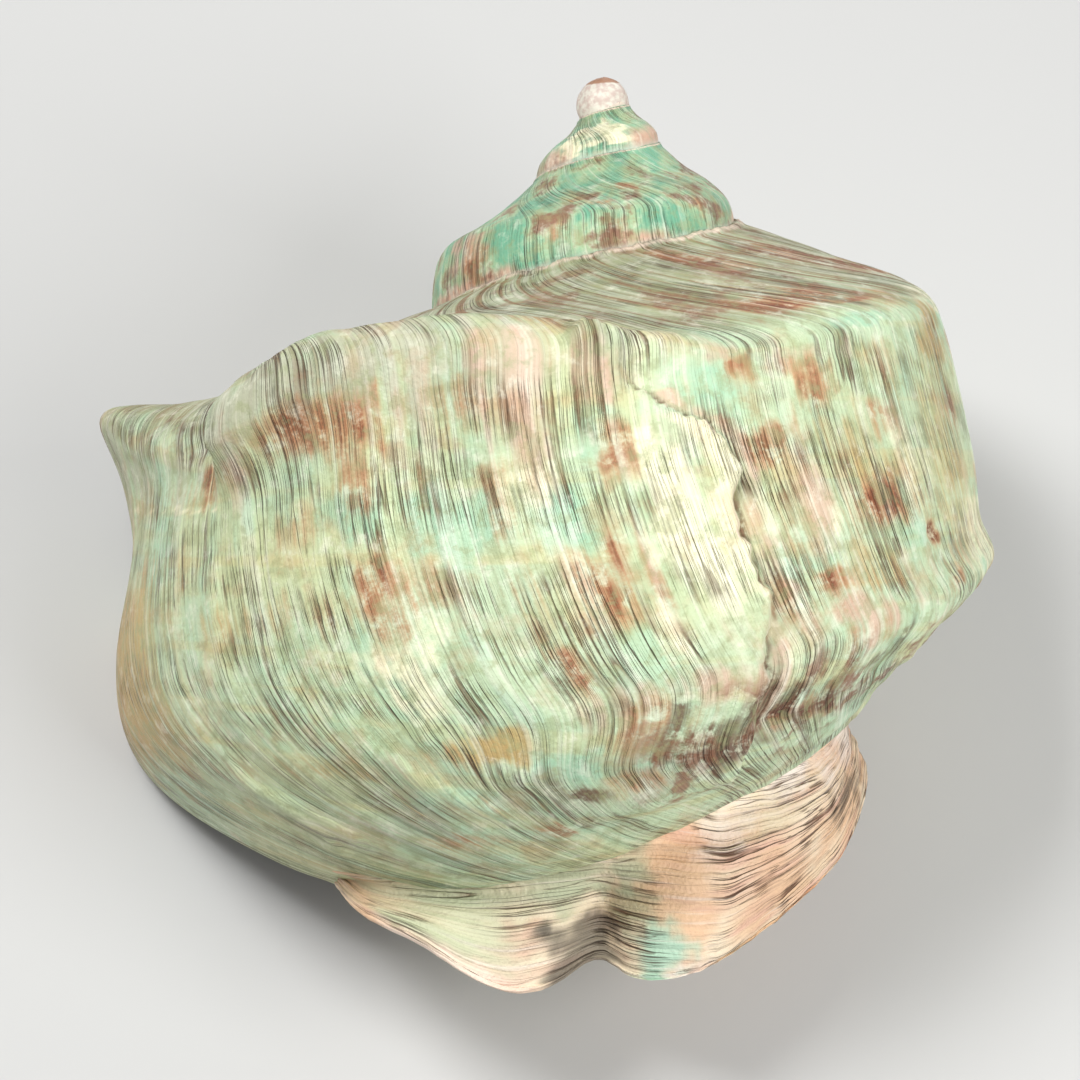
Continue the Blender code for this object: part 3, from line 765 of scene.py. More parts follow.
@dataclass
class Sheet:
    """A grid of points that is rolled into one closed piece.

    The last row is the first row again, so the sheet is a pipe, and its two open ends are closed.
    """

    name: str
    points: np.ndarray
    along: np.ndarray
    across: np.ndarray
    marks: dict[str, np.ndarray]
    finish: np.ndarray | None = None

    def build(self, materials: list[bpy.types.Material]) -> bpy.types.Object:
        """Makes the piece from a grid that is shaped, rolled up and closed.

        Args:
            materials: The piece's materials, in the order of Finish.

        Returns:
            The finished piece, at the origin.
        """
        columns, rows = self.points.shape[:2]
        bpy.ops.object.select_all(action="DESELECT")
        bpy.ops.mesh.primitive_grid_add(x_subdivisions=columns - 1, y_subdivisions=rows - 1, size=2, calc_uvs=True)
        piece = bpy.context.active_object
        piece.name = self.name
        mesh = piece.data
        mesh.name = self.name
        start = np.zeros(len(mesh.vertices) * 3)
        mesh.vertices.foreach_get("co", start)
        start = start.reshape(-1, 3)
        column = np.rint((start[:, 0] + 1) / 2 * (columns - 1)).astype(int)
        row = np.rint((start[:, 1] + 1) / 2 * (rows - 1)).astype(int)
        mesh.vertices.foreach_set("co", self.points[column, row].ravel())
        self.map_growth(mesh, column, row)
        for name, values in self.marks.items():
            layer = mesh.color_attributes.new(name, "FLOAT_COLOR", "POINT")
            data = np.ones((len(mesh.vertices), 4))
            data[:, :3] = values[column, row]
            layer.data.foreach_set("color", data.ravel())
        for material in materials:
            mesh.materials.append(material)
        if self.finish is not None:
            self.set_finish(mesh, column)
        mesh.update()
        self.close()
        return piece

    def map_growth(self, mesh: bpy.types.Mesh, column: np.ndarray, row: np.ndarray) -> None:
        """Writes the map of growth, in metres, on the mesh."""
        layer = mesh.uv_layers[0]
        layer.name = "growth"
        corners = np.zeros(len(mesh.loops), int)
        mesh.loops.foreach_get("vertex_index", corners)
        flat = np.stack((self.along[column, row], self.across[column, row]), axis=-1)[corners]
        layer.data.foreach_set("uv", flat.ravel())

    def set_finish(self, mesh: bpy.types.Mesh, column: np.ndarray) -> None:
        """Gives each face the finish of its column."""
        corners = np.zeros(len(mesh.loops), int)
        mesh.loops.foreach_get("vertex_index", corners)
        starts = np.zeros(len(mesh.polygons), int)
        mesh.polygons.foreach_get("loop_start", starts)
        if len(starts) * 4 == len(corners):
            first = np.min(column[corners].reshape(-1, 4), axis=1)
        else:
            first = column[corners[starts]]
        mesh.polygons.foreach_set("material_index", self.finish[first].astype(np.int32))

    @staticmethod
    def close() -> None:
        """Merges the seam of the active piece, closes its ends and turns its faces outwards."""
        bpy.ops.object.mode_set(mode="EDIT")
        bpy.ops.mesh.select_all(action="SELECT")
        bpy.ops.mesh.remove_doubles(threshold=0.000001)
        bpy.ops.mesh.select_all(action="DESELECT")
        bpy.ops.mesh.select_mode(type="EDGE")
        bpy.ops.mesh.select_non_manifold(
            extend=False, use_wire=False, use_multi_face=False, use_non_contiguous=False, use_verts=False
        )
        bpy.ops.mesh.fill_holes(sides=0)
        bpy.ops.mesh.select_mode(type="VERT")
        bpy.ops.mesh.select_all(action="SELECT")
        bpy.ops.mesh.normals_make_consistent(inside=False)
        bpy.ops.object.mode_set(mode="OBJECT")
        bpy.ops.object.shade_smooth()


def closed(part: np.ndarray) -> np.ndarray:
    """Repeats the first row of a grid after its last one, so that the grid closes to a ring."""
    return np.concatenate((part, part[:, :1]), axis=1)


def keep_inside(points: np.ndarray) -> np.ndarray:
    """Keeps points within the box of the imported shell."""
    low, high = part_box(NODE)
    margin = 0.00003
    kept = np.clip(points, np.array(low) + margin, np.array(high) - margin)
    LOG.info("%d of %d points brought inside the box", int(np.any(kept != points, axis=-1).sum()), points[..., 0].size)
    return kept


def dress(piece: bpy.types.Object) -> bpy.types.Object:
    """Fastens a piece to the shell's body, hides the imported shell and logs the piece's faces."""
    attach(piece, "root")
    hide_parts(NODE)
    LOG.info("%s: %d faces", piece.name, len(piece.data.polygons))
    return piece


@dataclass
class SkinPaint:
    """Where the skin's colours lie. A patch is (turn, place, half turn, half place, strength)."""

    brown: tuple[Patch, ...] = (
        (-0.169, 6.0, 0.010, 0.48, 1.0), (-0.185, 5.95, 0.012, 0.36, 0.55), (-0.348, 5.9, 0.015, 0.36, 1.0),
        (-0.328, 6.9, 0.014, 0.24, 0.95), (-0.300, 5.1, 0.011, 0.34, 0.9), (-0.320, 4.4, 0.012, 0.45, 0.8),
        (-0.292, 3.9, 0.008, 0.32, 0.8), (-0.237, 6.3, 0.009, 0.46, 0.9), (-0.230, 7.1, 0.006, 0.45, 0.9),
        (-0.243, 5.9, 0.005, 0.35, 0.8), (-0.256, 6.2, 0.003, 0.5, 0.6), (-0.150, 4.15, 0.030, 0.36, 0.85),
        (-0.156, 4.7, 0.007, 0.50, 0.7), (-0.088, 4.1, 0.009, 0.50, 0.8), (-0.248, 5.0, 0.010, 0.42, 0.75),
        (-0.360, 5.1, 0.012, 0.22, 0.65), (-0.380, 6.6, 0.005, 0.3, 1.0), (-0.396, 7.6, 0.008, 0.32, 0.8),
        (-0.344, 8.0, 0.020, 0.40, 0.5), (-0.336, 8.9, 0.024, 0.45, 0.9), (-0.272, 9.1, 0.016, 0.32, 0.6),
        (-0.256, 8.1, 0.008, 0.42, 0.7),
        (-0.188, 4.1, 0.016, 0.36, 0.5), (-0.312, 1.9, 0.026, 0.34, 1.0), (-0.432, 1.2, 0.040, 0.28, 1.1),
        (-0.340, 1.7, 0.026, 0.26, 0.9), (-0.39, 0.8, 0.03, 0.25, 1.0), (-0.36, 2.2, 0.03, 0.16, 0.9),
        (-0.220, 2.6, 0.020, 0.22, 0.6), (-0.308, 0.7, 0.020, 0.34, 1.0),
        (-0.312, 6.3, 0.012, 0.5, 0.4), (-0.304, 7.0, 0.006, 0.6, 0.6), (-0.13, 6.1, 0.014, 0.25, 0.35),
        (-0.19, 9.9, 0.022, 0.22, 0.6), (-0.24, 9.9, 0.012, 0.25, 0.8), (-0.208, 5.3, 0.006, 0.6, 0.5),
        (-1.09, 4.4, 0.020, 0.7, 0.8), (-1.19, 3.9, 0.010, 0.8, 0.6), (-1.36, 3.4, 0.020, 0.5, 0.7),
        (-1.25, 4.3, 0.016, 0.6, 0.7), (-1.30, 4.9, 0.012, 0.4, 0.6), (-1.24, 2.6, 0.020, 0.3, 0.8),
        (-1.20, 2.1, 0.016, 0.3, 0.7), (-1.27, 1.7, 0.014, 0.3, 0.8),
    )
    cream: tuple[Patch, ...] = (
        (-0.262, 5.5, 0.008, 0.65, 1.0), (-0.274, 6.3, 0.007, 0.60, 0.9), (-0.246, 5.7, 0.006, 0.50, 0.35),
        (-0.258, 6.9, 0.006, 0.5, 0.6), (-0.176, 7.0, 0.010, 0.6, 0.8),
        (-0.184, 6.6, 0.008, 0.4, 0.6), (-0.216, 5.2, 0.010, 0.4, 0.5), (-0.340, 3.9, 0.012, 0.3, 0.5),
        (-0.308, 7.7, 0.010, 0.4, 0.5), (-0.120, 5.9, 0.020, 0.8, 0.2), (-0.084, 7.0, 0.030, 0.9, 0.2),
        (-0.326, 5.9, 0.012, 0.4, 0.5), (-0.23, 7.6, 0.008, 0.3, 0.5), (-0.372, 5.6, 0.014, 0.5, 0.5),
        (-0.05, 6.0, 0.030, 1.2, 0.2), (-2.224, 2.5, 0.080, 1.3, 1.6), (-2.15, 3.2, 0.05, 1.0, 1.4),
    )
    teal: tuple[Patch, ...] = (
        (-0.152, 5.1, 0.014, 0.40, 0.8), (-0.200, 5.5, 0.014, 0.40, 0.7), (-0.228, 5.5, 0.012, 0.45, 0.8),
        (-0.180, 5.3, 0.012, 0.40, 0.7), (-0.280, 4.2, 0.012, 0.5, 0.7), (-0.140, 6.6, 0.012, 0.45, 0.6),
        (-0.192, 6.9, 0.012, 0.4, 0.5), (-0.236, 4.6, 0.012, 0.4, 0.6), (-0.352, 3.1, 0.03, 0.35, 0.7),
        (-0.316, 6.5, 0.016, 0.3, 0.6), (-0.372, 4.6, 0.016, 0.3, 0.6), (-0.365, 6.5, 0.012, 0.4, 0.6),
        (-0.24, 8.6, 0.018, 0.35, 0.8), (-0.15, 7.6, 0.016, 0.35, 0.6), (-0.19, 9.0, 0.020, 0.4, 0.5),
        (-0.10, 5.0, 0.012, 0.4, 0.5), (-0.34, 8.7, 0.03, 0.3, 0.6),
        (-1.13, 4.2, 0.07, 1.2, 0.9), (-1.28, 3.4, 0.09, 1.0, 0.9), (-1.42, 3.4, 0.06, 1.2, 0.9),
        (-2.08, 4.0, 0.06, 1.6, 1.0), (-2.24, 3.8, 0.08, 0.7, 0.9), (-2.33, 1.6, 0.07, 0.9, 0.8),
    )
    ochre: tuple[Patch, ...] = (
        (-0.208, 8.2, 0.017, 0.32, 0.95), (-0.148, 8.3, 0.010, 0.26, 0.7), (-0.236, 6.5, 0.018, 0.35, 0.5),
        (-0.11, 6.05, 0.025, 0.25, 0.4), (-0.352, 5.7, 0.022, 0.5, 0.4), (-0.405, 5.6, 0.025, 1.1, 0.45),
        (-0.41, 4.1, 0.022, 0.6, 0.8), (-0.365, 4.4, 0.02, 0.6, 0.5),
        (-0.335, 5.3, 0.02, 0.5, 0.5), (-0.345, 6.9, 0.02, 0.4, 0.5), (-0.42, 3.4, 0.02, 0.6, 0.7),
        (-0.22, 3.4, 0.02, 0.5, 0.3), (-0.18, 10.2, 0.05, 0.3, 0.3), (-0.39, 2.6, 0.02, 0.6, 0.5),
    )
    dark: tuple[Patch, ...] = (
        (-0.312, 9.1, 0.016, 0.45, 1.0), (-0.250, 9.1, 0.010, 0.28, 0.9), (-0.290, 8.7, 0.016, 0.3, 0.8),
        (-0.302, 8.3, 0.008, 0.4, 0.9), (-0.326, 8.7, 0.010, 0.5, 0.9), (-0.270, 8.3, 0.004, 0.6, 0.8),
        (-0.380, 6.6, 0.003, 0.2, 0.9), (-0.300, 8.5, 0.006, 0.3, 0.6), (-0.33, 8.9, 0.02, 0.2, 0.5),
        (-0.36, 8.6, 0.02, 0.2, 0.6), (-0.350, 9.0, 0.014, 0.3, 0.8), (-0.372, 8.3, 0.008, 0.4, 0.6),
        (-0.225, 7.3, 0.004, 0.5, 0.5), (-0.262, 9.9, 0.02, 0.2, 0.5),
    )
    grey: tuple[Patch, ...] = (
        (-0.13, 3.3, 0.085, 1.1, 1.0), (0.02, 3.4, 0.07, 1.3, 0.9), (-0.22, 3.3, 0.05, 0.9, 0.6),
        (-0.27, 9.2, 0.06, 0.6, 0.6),
        (-0.34, 9.2, 0.05, 0.5, 0.7), (-0.15, 9.6, 0.06, 0.5, 0.4), (-0.30, 3.2, 0.03, 0.4, 0.4),
    )
    rosy: tuple[Patch, ...] = (
        (-0.205, 3.5, 0.020, 0.6, 0.5), (-0.30, 8.0, 0.010, 0.6, 0.5), (-0.325, 5.6, 0.012, 0.35, 0.5),
        (-0.35, 7.7, 0.02, 0.4, 0.6), (-0.315, 5.9, 0.008, 0.6, 0.6), (-0.33, 7.4, 0.02, 0.3, 0.7),
        (-0.315, 3.9, 0.014, 0.4, 0.6), (-0.285, 3.5, 0.008, 0.3, 0.6), (-0.27, 7.8, 0.02, 0.35, 0.6),
        (-0.21, 4.3, 0.012, 0.5, 0.6), (-0.235, 3.9, 0.010, 0.5, 0.6), (-0.24, 7.8, 0.010, 0.4, 0.5),
        (-0.17, 8.4, 0.012, 0.3, 0.4), (-0.105, 4.4, 0.01, 0.4, 0.4),
        (-1.15, 5.3, 0.03, 0.35, 1.0), (-1.29, 5.3, 0.02, 0.35, 1.0), (-1.08, 3.7, 0.03, 0.9, 0.7),
    )
    bands: tuple[float, ...] = (1.5, 4.25, 5.2, 6.2, 7.1, 8.25, 9.2)

    def patches(self, growth: np.ndarray, place: np.ndarray, spots: tuple[Patch, ...]) -> np.ndarray:
        """Lays soft patches along the growth lines.

        Args:
            growth: Growth turns of the points.
            place: Places of the points on the outline.
            spots: The patches.

        Returns:
            The mask, from 0 to 1.
        """
        length = WHORL_LENGTH * FORM.size(growth)
        stray = (PAINT.layered(length / 3.2, place * 2.5) - 0.5) * 1.3
        stray = stray + (PAINT.layered(length / 11, place) - 0.5) * 1.1
        drift = (PAINT.layered(length / 4.5 + 9, place * 3.1) - 0.5) * 1.3
        drift = drift + (PAINT.layered(length / 9 + 3, place) - 0.5) * 1.2
        mask = np.zeros(growth.shape)
        for turn, middle, half_turn, half_place, strength in spots:
            own = turn - float(FORM.lead(np.array(middle)))
            side = np.abs((growth - own) / half_turn + stray)
            level = np.abs((place - middle) / half_place + drift)
            spot = strength * (1 - smooth((side - 0.15) / 1.35)) * (1 - smooth((level - 0.25) / 1.15))
            mask = np.maximum(mask, spot)
        return mask

    def rows_of_blotches(self, growth: np.ndarray, place: np.ndarray) -> np.ndarray:
        """Returns the blotches that run round the shell in rows."""
        mask = np.zeros(growth.shape)
        length = WHORL_LENGTH * FORM.size(growth)
        for number, middle in enumerate(self.bands):
            level = np.exp(-(((place - middle) / 0.30) ** 2))
            beat = smooth((PAINT.at(length / 11 + 5.3 * number, number * 3.0) - 0.52) / 0.2)
            mask = np.maximum(mask, level * beat)
        return mask

    def marks(self, turn: np.ndarray, place: np.ndarray, edge: np.ndarray, cover: np.ndarray) -> dict[str, np.ndarray]:
        """Finds the masks of the whole skin.

        Args:
            turn: Turns of the points.
            place: Places of the points on the outline.
            edge: Distance out of the suture above, in mm.
            cover: Distance up from the suture below, in mm, or a large number.

        Returns:
            Three masks for each of the attributes marks_a to marks_d.
        """
        growth = FORM.growth(turn, place)
        length = WHORL_LENGTH * FORM.size(growth)
        seen = smooth((turn + 0.43) / 0.04)
        early = 1 - smooth((turn + 1.0) / 0.2)
        hidden = 1 - np.maximum(seen, early)
        rows = self.rows_of_blotches(growth, place) * (0.30 + 0.5 * hidden)
        brown = np.maximum(self.patches(growth, place, self.brown), rows)
        cream = self.patches(growth, place, self.cream)
        cream = np.maximum(cream, hidden * smooth((PAINT.layered(length / 30, place / 1.5) - 0.55) / 0.15) * 0.7)
        teal = self.patches(growth, place, self.teal)
        clouds = smooth((PAINT.layered(length / 22 + 50, place / 1.1) - 0.52) / 0.15)
        teal = np.maximum(teal, (0.35 + 0.4 * hidden) * clouds)
        young = 1 - smooth((turn + 1.35) / 0.5)
        teal = np.maximum(teal, young * 0.75 * smooth((PAINT.layered(length / 9 + 80, place) - 0.35) / 0.2))
        ragged = PAINT.layered(turn * 260, place)
        near_lip = smooth((growth + 0.090) / 0.085) * smooth((place - 4.6) / 1.2)
        near_lip = near_lip * (1 - 0.75 * smooth((place - 7.2) / 1.4))
        ochre = np.maximum(self.patches(growth, place, self.ochre), near_lip * 0.95)
        dark = self.patches(growth, place, self.dark)
        dark = np.maximum(dark, bell((edge + 0.3) / 0.9) * smooth((ragged - 0.45) / 0.2) * 0.6)
        break_places = [point[0] for point in FORM.main_break]
        line = np.interp(place, break_places, [point[1] for point in FORM.main_break])
        inside = smooth((place - 3.7) / 0.3) * (1 - smooth((place - 8.3) / 0.8))
        gap = turn - line - (RELIEF.layered(place * 3.5, 2.0, 2) - 0.5) * 0.008
        # Painted shadow: a thin dark line at the foot of the raised growth break, added to the dark mask.
        dark = np.maximum(dark, inside * bell((gap + 0.0016) / 0.0030) * smooth((ragged - 0.25) / 0.3) * 0.75)
        crest = smooth((gap + 0.001) / 0.002) * (1 - smooth((gap - 0.004) / 0.009))
        crest = crest * smooth((place - 4.5) / 0.3) * (1 - smooth((place - 6.2) / 0.8))
        cream = np.maximum(cream, crest * 1.2)
        rosy_foot = inside * bell((gap + 0.006) / 0.008) * smooth((PAINT.at(place * 3, 6.0) - 0.3) / 0.3)
        wide = 1.3 * np.clip(FORM.size(turn) / 0.7, 0.4, 1.0)
        seam = bell((edge - 0.5 * wide) / (0.9 * wide)) * smooth((ragged - 0.18) / 0.2)
        seam = np.maximum(seam, inside * bell((gap - 0.0006) / 0.0016) * smooth((ragged - 0.30) / 0.3) * 0.9)
        crust = np.interp(turn, (-0.10, -0.068, -0.02), (4.7, 4.5, 4.3))
        crusty = smooth((turn + 0.108) / 0.01) * smooth((ragged - 0.40) / 0.15)
        wavy = crust + (PAINT.layered(turn * 120, 3.0) - 0.5) * 0.12
        cream = np.maximum(cream, crusty * bell((place - wavy) / 0.07) * 0.9)
        rosy = np.maximum(self.patches(growth, place, self.rosy), rosy_foot * 0.6)
        rosy = np.maximum(rosy, bell((cover - 1.0) / 3.5) * smooth((PAINT.at(length / 16, 4.0) - 0.45) / 0.2))
        grey = self.patches(growth, place, self.grey)
        grey = np.maximum(grey, (1 - smooth((place - 2.0) / 0.8)) * smooth((turn + 0.8) / 0.2) * 0.55)
        pearl = smooth((-0.935 - turn) / 0.02) * smooth((1.5 - cover) / 3.0)
        bleach = 1 - smooth((turn + 2.62) / 0.12)
        young_shell = (1 - smooth((turn + 1.04) / 0.18)) * (1 - bleach)
        slope = (1 - smooth((place - 2.1) / 0.8)) * (1 - young_shell)
        worn = smooth((place - 7.6) / 0.6) * (1 - smooth((place - 9.7) / 0.5))
        worn = worn * smooth((-0.235 - turn) / 0.03) * 0.8
        cream = np.maximum(cream, bleach)
        seam = np.maximum(seam, bleach * 0.9)
        return {
            "marks_a": np.stack((brown * (1 - bleach), cream, teal * (1 - bleach)), axis=-1),
            "marks_b": np.stack((dark, ochre, seam), axis=-1),
            "marks_c": np.stack((rosy, grey * (1 - bleach), pearl), axis=-1),
            "marks_d": np.stack((young_shell, slope, worn), axis=-1),
        }


@dataclass
class SkinRelief:
    """The low relief of the skin, in mm and mostly inwards."""

    ridge: float = 0.75
    inset: float = 0.40

    def height(self, turn: np.ndarray, place: np.ndarray, edge: np.ndarray) -> np.ndarray:
        """Finds how far the skin stands out of its smooth form.

        Args:
            turn: Turns of the points.
            place: Places of the points on the outline.
            edge: Distance out of the suture above, in mm.

        Returns:
            Heights in mm, from the smooth form outwards.
        """
        growth = FORM.growth(turn, place)
        length = WHORL_LENGTH * FORM.size(growth)
        level = FORM.arc(place) * FORM.size(turn)
        wide = RELIEF.layered(length / 9 + (RELIEF.at(level / 25, 3) - 0.5) * 2, level / 70)
        narrow = RELIEF.layered(length / 3.4, level / 45, 2)
        calm = 1 - 0.65 * smooth((turn + 0.11) / 0.05)
        height = ((wide - 0.5) * 1.2 + (narrow - 0.5) * 0.35) * self.ridge * calm
        rough = smooth((place - 7.3) / 0.8) * (1 - smooth((place - 9.7) / 0.5)) * smooth((-0.235 - turn) / 0.03)
        rough = rough * smooth((turn + 0.46) / 0.06)
        height += rough * (RELIEF.layered(length / 4.2 + 40, level / 9) - 0.5) * 1.8
        ragged = 0.4 + 0.9 * RELIEF.layered(turn * 240, 7.0)
        wide_seam = 1.6 * np.clip(FORM.size(turn) / 0.7, 0.4, 1.0)
        height += bell((edge - 0.4) / wide_seam) * ragged * 0.7
        for line, step, fade in self.lines():
            places = [point[0] for point in line]
            ends = smooth((place - places[0]) / 0.4) * smooth((places[-1] - place) / 0.4)
            crossing = np.interp(place, places, [point[1] for point in line])
            crossing = crossing + (RELIEF.layered(place * 5, 9) - 0.5) * 0.004
            rise = smooth((turn - crossing) / 0.003 + 0.5)
            height += ends * step * rise * (1 - smooth((turn - crossing) / fade))
        for wart_turn, wart_place, half_turn, half_place, wart in self.warts():
            height += wart * bell((turn - wart_turn) / half_turn) * bell((place - wart_place) / half_place)
        fold = smooth((place - 1.7) / 0.5) * (1 - smooth((place - 3.5) / 1.3))
        crossing = np.interp(place, (2.4, 3.8, 4.3), (-0.092, -0.099, -0.094))
        before = smooth((turn - crossing + 0.060) / 0.045) * (1 - smooth((turn - crossing) / 0.006 + 0.5))
        height += fold * before * 6.0
        return height * np.clip(FORM.size(turn) * 1.4, 0.25, 1.0) - self.inset

    @staticmethod
    def warts() -> tuple[Patch, ...]:
        """Returns small bumps and pits: turn, place, half turn, half place, and height."""
        return (
            (-0.080, 2.7, 0.020, 1.1, -1.8), (-0.240, 3.15, 0.012, 0.45, 2.4),
            (-0.253, 3.35, 0.006, 0.30, -1.8), (-0.098, 2.6, 0.005, 0.25, -1.0),
            (-0.380, 6.6, 0.006, 0.25, -0.9), (-0.262, 4.9, 0.012, 0.5, 0.8), (-0.30, 9.0, 0.012, 0.4, -0.9),
            (-0.245, 9.1, 0.010, 0.35, -0.8), (-0.21, 8.7, 0.014, 0.35, 0.9), (-0.18, 7.9, 0.010, 0.3, 0.7),
        )

    @staticmethod
    def lines() -> tuple[tuple[tuple[tuple[float, float], ...], float, float], ...]:
        """Returns the small growth breaks: each line's (place, turn) points, step and fade."""
        return (
            (((5.2, -0.100), (5.4, -0.101), (6.1, -0.104), (7.0, -0.112), (7.6, -0.116)), 0.55, 0.02),
            (((8.0, -0.098), (8.4, -0.102), (8.8, -0.112), (9.6, -0.124), (10.4, -0.120)), 0.6, 0.02),
            (((4.2, -0.158), (5.2, -0.168), (6.0, -0.178), (6.8, -0.186), (7.6, -0.196)), 0.45, 0.02),
            (((4.4, -0.205), (5.4, -0.214), (6.4, -0.226), (7.4, -0.236)), 0.55, 0.02),
            (((3.4, -0.262), (4.4, -0.300), (5.6, -0.318), (6.8, -0.330)), 0.4, 0.02),
            (((7.2, -0.150), (8.0, -0.165), (8.8, -0.185), (9.6, -0.205)), 0.6, 0.025),
        )


@dataclass
class LastWhorl:
    """The last whorl: its skin, its lip and its pearly hollow, rolled from one sheet."""

    start_turn: float = -0.72
    hollow_turn: float = -0.60
    lean_reach: float = 0.42
    columns: int = 380
    rows: int = 180
    inner_rows: int = 16
    lip_columns: int = 7
    hollow_columns: int = 80
    lip_wall: float = 2.6
    inner_wall: float = 5.0
    wall_grows: float = 0.10
    columella_side: tuple[tuple[float, float], ...] = ((30, 8.0), (20, 16.0), (17.5, 48.0), (18.0, 82.0), (23, 101.0))

    def skin_turns(self) -> np.ndarray:
        """Returns the turns of the skin's columns, closer together at the main growth break."""
        base = np.linspace(self.start_turn, FORM.lip_turn, 2000)
        density = 1 + 2.2 * np.exp(-(((base + 0.272) / 0.028) ** 2)) + 0.5 * np.exp(-(((base + 0.10) / 0.03) ** 2))
        total = np.concatenate(([0.0], np.cumsum((density[1:] + density[:-1]) / 2)))
        return np.interp(np.linspace(0, total[-1], self.columns), total, base)

    def skin(self, sutures: Sutures) -> tuple[np.ndarray, ...]:
        """Finds the skin's points and where they lie on the shell.

        Args:
            sutures: What GrowthForm.sutures returns.

        Returns:
            Points in mm, turns, places, and the distance from the suture.
        """
        turns = self.skin_turns()[:, None]
        places = FORM.places_by_arc(0, 12, self.rows)[None, :]
        lean = smooth((turns - self.start_turn) / self.lean_reach)
        local = turns + FORM.lead(places) * lean
        places = np.broadcast_to(places, local.shape)
        comes_out = np.interp(local, sutures[0], sutures[1])
        edge = (FORM.arc(places) - FORM.arc(comes_out)) * FORM.size(local)
        ragged = (RELIEF.layered(places * 3.5, 2.0, 2) - 0.5) * 0.008
        height = FORM.break_height(local, places, ragged)
        height = height + SkinRelief().height(local, places, edge) / FORM.size(local)
        point = FORM.plain(local, places) + FORM.knob_shift(local, places)
        point = point + FORM.outward(local, places) * height[..., None]
        shrink = 1 - 0.002 * (1 - smooth((turns - self.start_turn) / 0.03))
        return FORM.to_space(local, point * shrink[..., None]), local, places, edge

    def hollow(self) -> tuple[np.ndarray, np.ndarray, np.ndarray]:
        """Returns the hollow's points in mm, from the lip inwards, with their turns and places."""
        turns = np.linspace(FORM.lip_turn, self.hollow_turn, self.hollow_columns)[:, None]
        places = 0.45 + (12.2 - 0.45) * FORM.places_by_arc(0, 12, self.rows)[None, :] / 12
        lean = smooth((turns - self.hollow_turn) / self.lean_reach)
        wall = self.lip_wall + (self.inner_wall - self.lip_wall) * smooth((FORM.lip_turn - turns) / self.wall_grows)
        local = turns + FORM.lead(places) * lean
        places = np.broadcast_to(places, local.shape)
        wave = (RELIEF.layered(WHORL_LENGTH * FORM.size(FORM.growth(local, places)) / 14, FORM.arc(places) / 60) - 0.5) * 0.5
        height = FORM.break_height(local, places, np.zeros(local.shape)) * 0.75 - wall + wave
        point = FORM.plain(local, places) + FORM.knob_shift(local, places) * 0.75
        point = point + FORM.outward(local, places) * height[..., None]
        first = turns + FORM.lead(np.array([[0.45]])) * lean
        last = local[:, -1:]
        floor = point[:, -1:, 1]
        keys = np.array(((point[0, -1, 0], 0.0), *self.columella_side, (point[0, 0, 0], 115.0)))
        shares = np.linspace(0, 1, self.inner_rows + 2)[1:-1]
        side = curve_at(keys, shares * (len(keys) - 1))
        side_local = last + (first - last) * shares[None, :]
        radius = np.broadcast_to(side[None, :, 0], side_local.shape)
        depth = floor - side[None, :, 1]
        side_points = np.stack((radius, depth), axis=-1)
        points = np.concatenate((FORM.to_space(local, point), FORM.to_space(side_local, side_points)), axis=1)
        all_turns = np.concatenate((local, side_local), axis=1)
        all_places = np.concatenate((places, np.broadcast_to(12.4 + shares[None, :], side_local.shape)), axis=1)
        return points, all_turns, all_places

    def inner_path(self, turns: np.ndarray, lean: np.ndarray) -> tuple[np.ndarray, np.ndarray, np.ndarray]:
        """Returns the skin's hidden way back along the axis: points in mm, turns and places."""
        places = np.linspace(12, 14, self.inner_rows + 1)[None, 1:]
        local = turns + FORM.lead(places) * lean
        places = np.broadcast_to(places, local.shape)
        return FORM.to_space(local, FORM.plain(local, places)), local, places

    def build(self, sutures: Sutures, materials: list[bpy.types.Material]) -> bpy.types.Object:
        """Makes the last whorl.

        Args:
            sutures: What GrowthForm.sutures returns.
            materials: The skin's and the pearl's materials.

        Returns:
            The finished piece.
        """
        points, turns, places, edge = self.skin(sutures)
        starts = self.skin_turns()[:, None]
        lean = smooth((starts - self.start_turn) / self.lean_reach)
        back_points, back_turns, back_places = self.inner_path(starts, lean)
        outer = np.concatenate((points, back_points), axis=1)
        outer_turns = np.concatenate((turns, back_turns), axis=1)
        outer_places = np.concatenate((places, back_places), axis=1)
        inner, inner_turns, inner_places = self.hollow()
        lip, lip_turns, lip_places = self.round_lip(outer, outer_turns, outer_places, inner, inner_turns)
        grid = np.concatenate((outer, lip, inner), axis=0)
        grid_turns = np.concatenate((outer_turns, lip_turns, inner_turns), axis=0)
        grid_places = np.concatenate((outer_places, lip_places, inner_places), axis=0)
        edges = np.full(grid_turns.shape, 50.0)
        edges[: points.shape[0], : points.shape[1]] = edge
        marks = SkinPaint().marks(grid_turns, np.minimum(grid_places, 12.5), edges, np.full(edges.shape, 50.0))
        grid, grid_turns, grid_places = closed(grid), closed(grid_turns), closed(grid_places)
        marks = {name: closed(value) for name, value in marks.items()}
        finish = np.full(grid.shape[0], Finish.SKIN.value)
        finish[points.shape[0] + self.lip_columns - 2 :] = Finish.PEARL.value
        along = WHORL_LENGTH * MM * FORM.size(FORM.growth(grid_turns, grid_places))
        across = FORM.arc(grid_places) * FORM.size(grid_turns) * MM
        sheet = Sheet("last_whorl", keep_inside(REST.lay(grid)), along, across, marks, finish)
        return dress(sheet.build(materials))

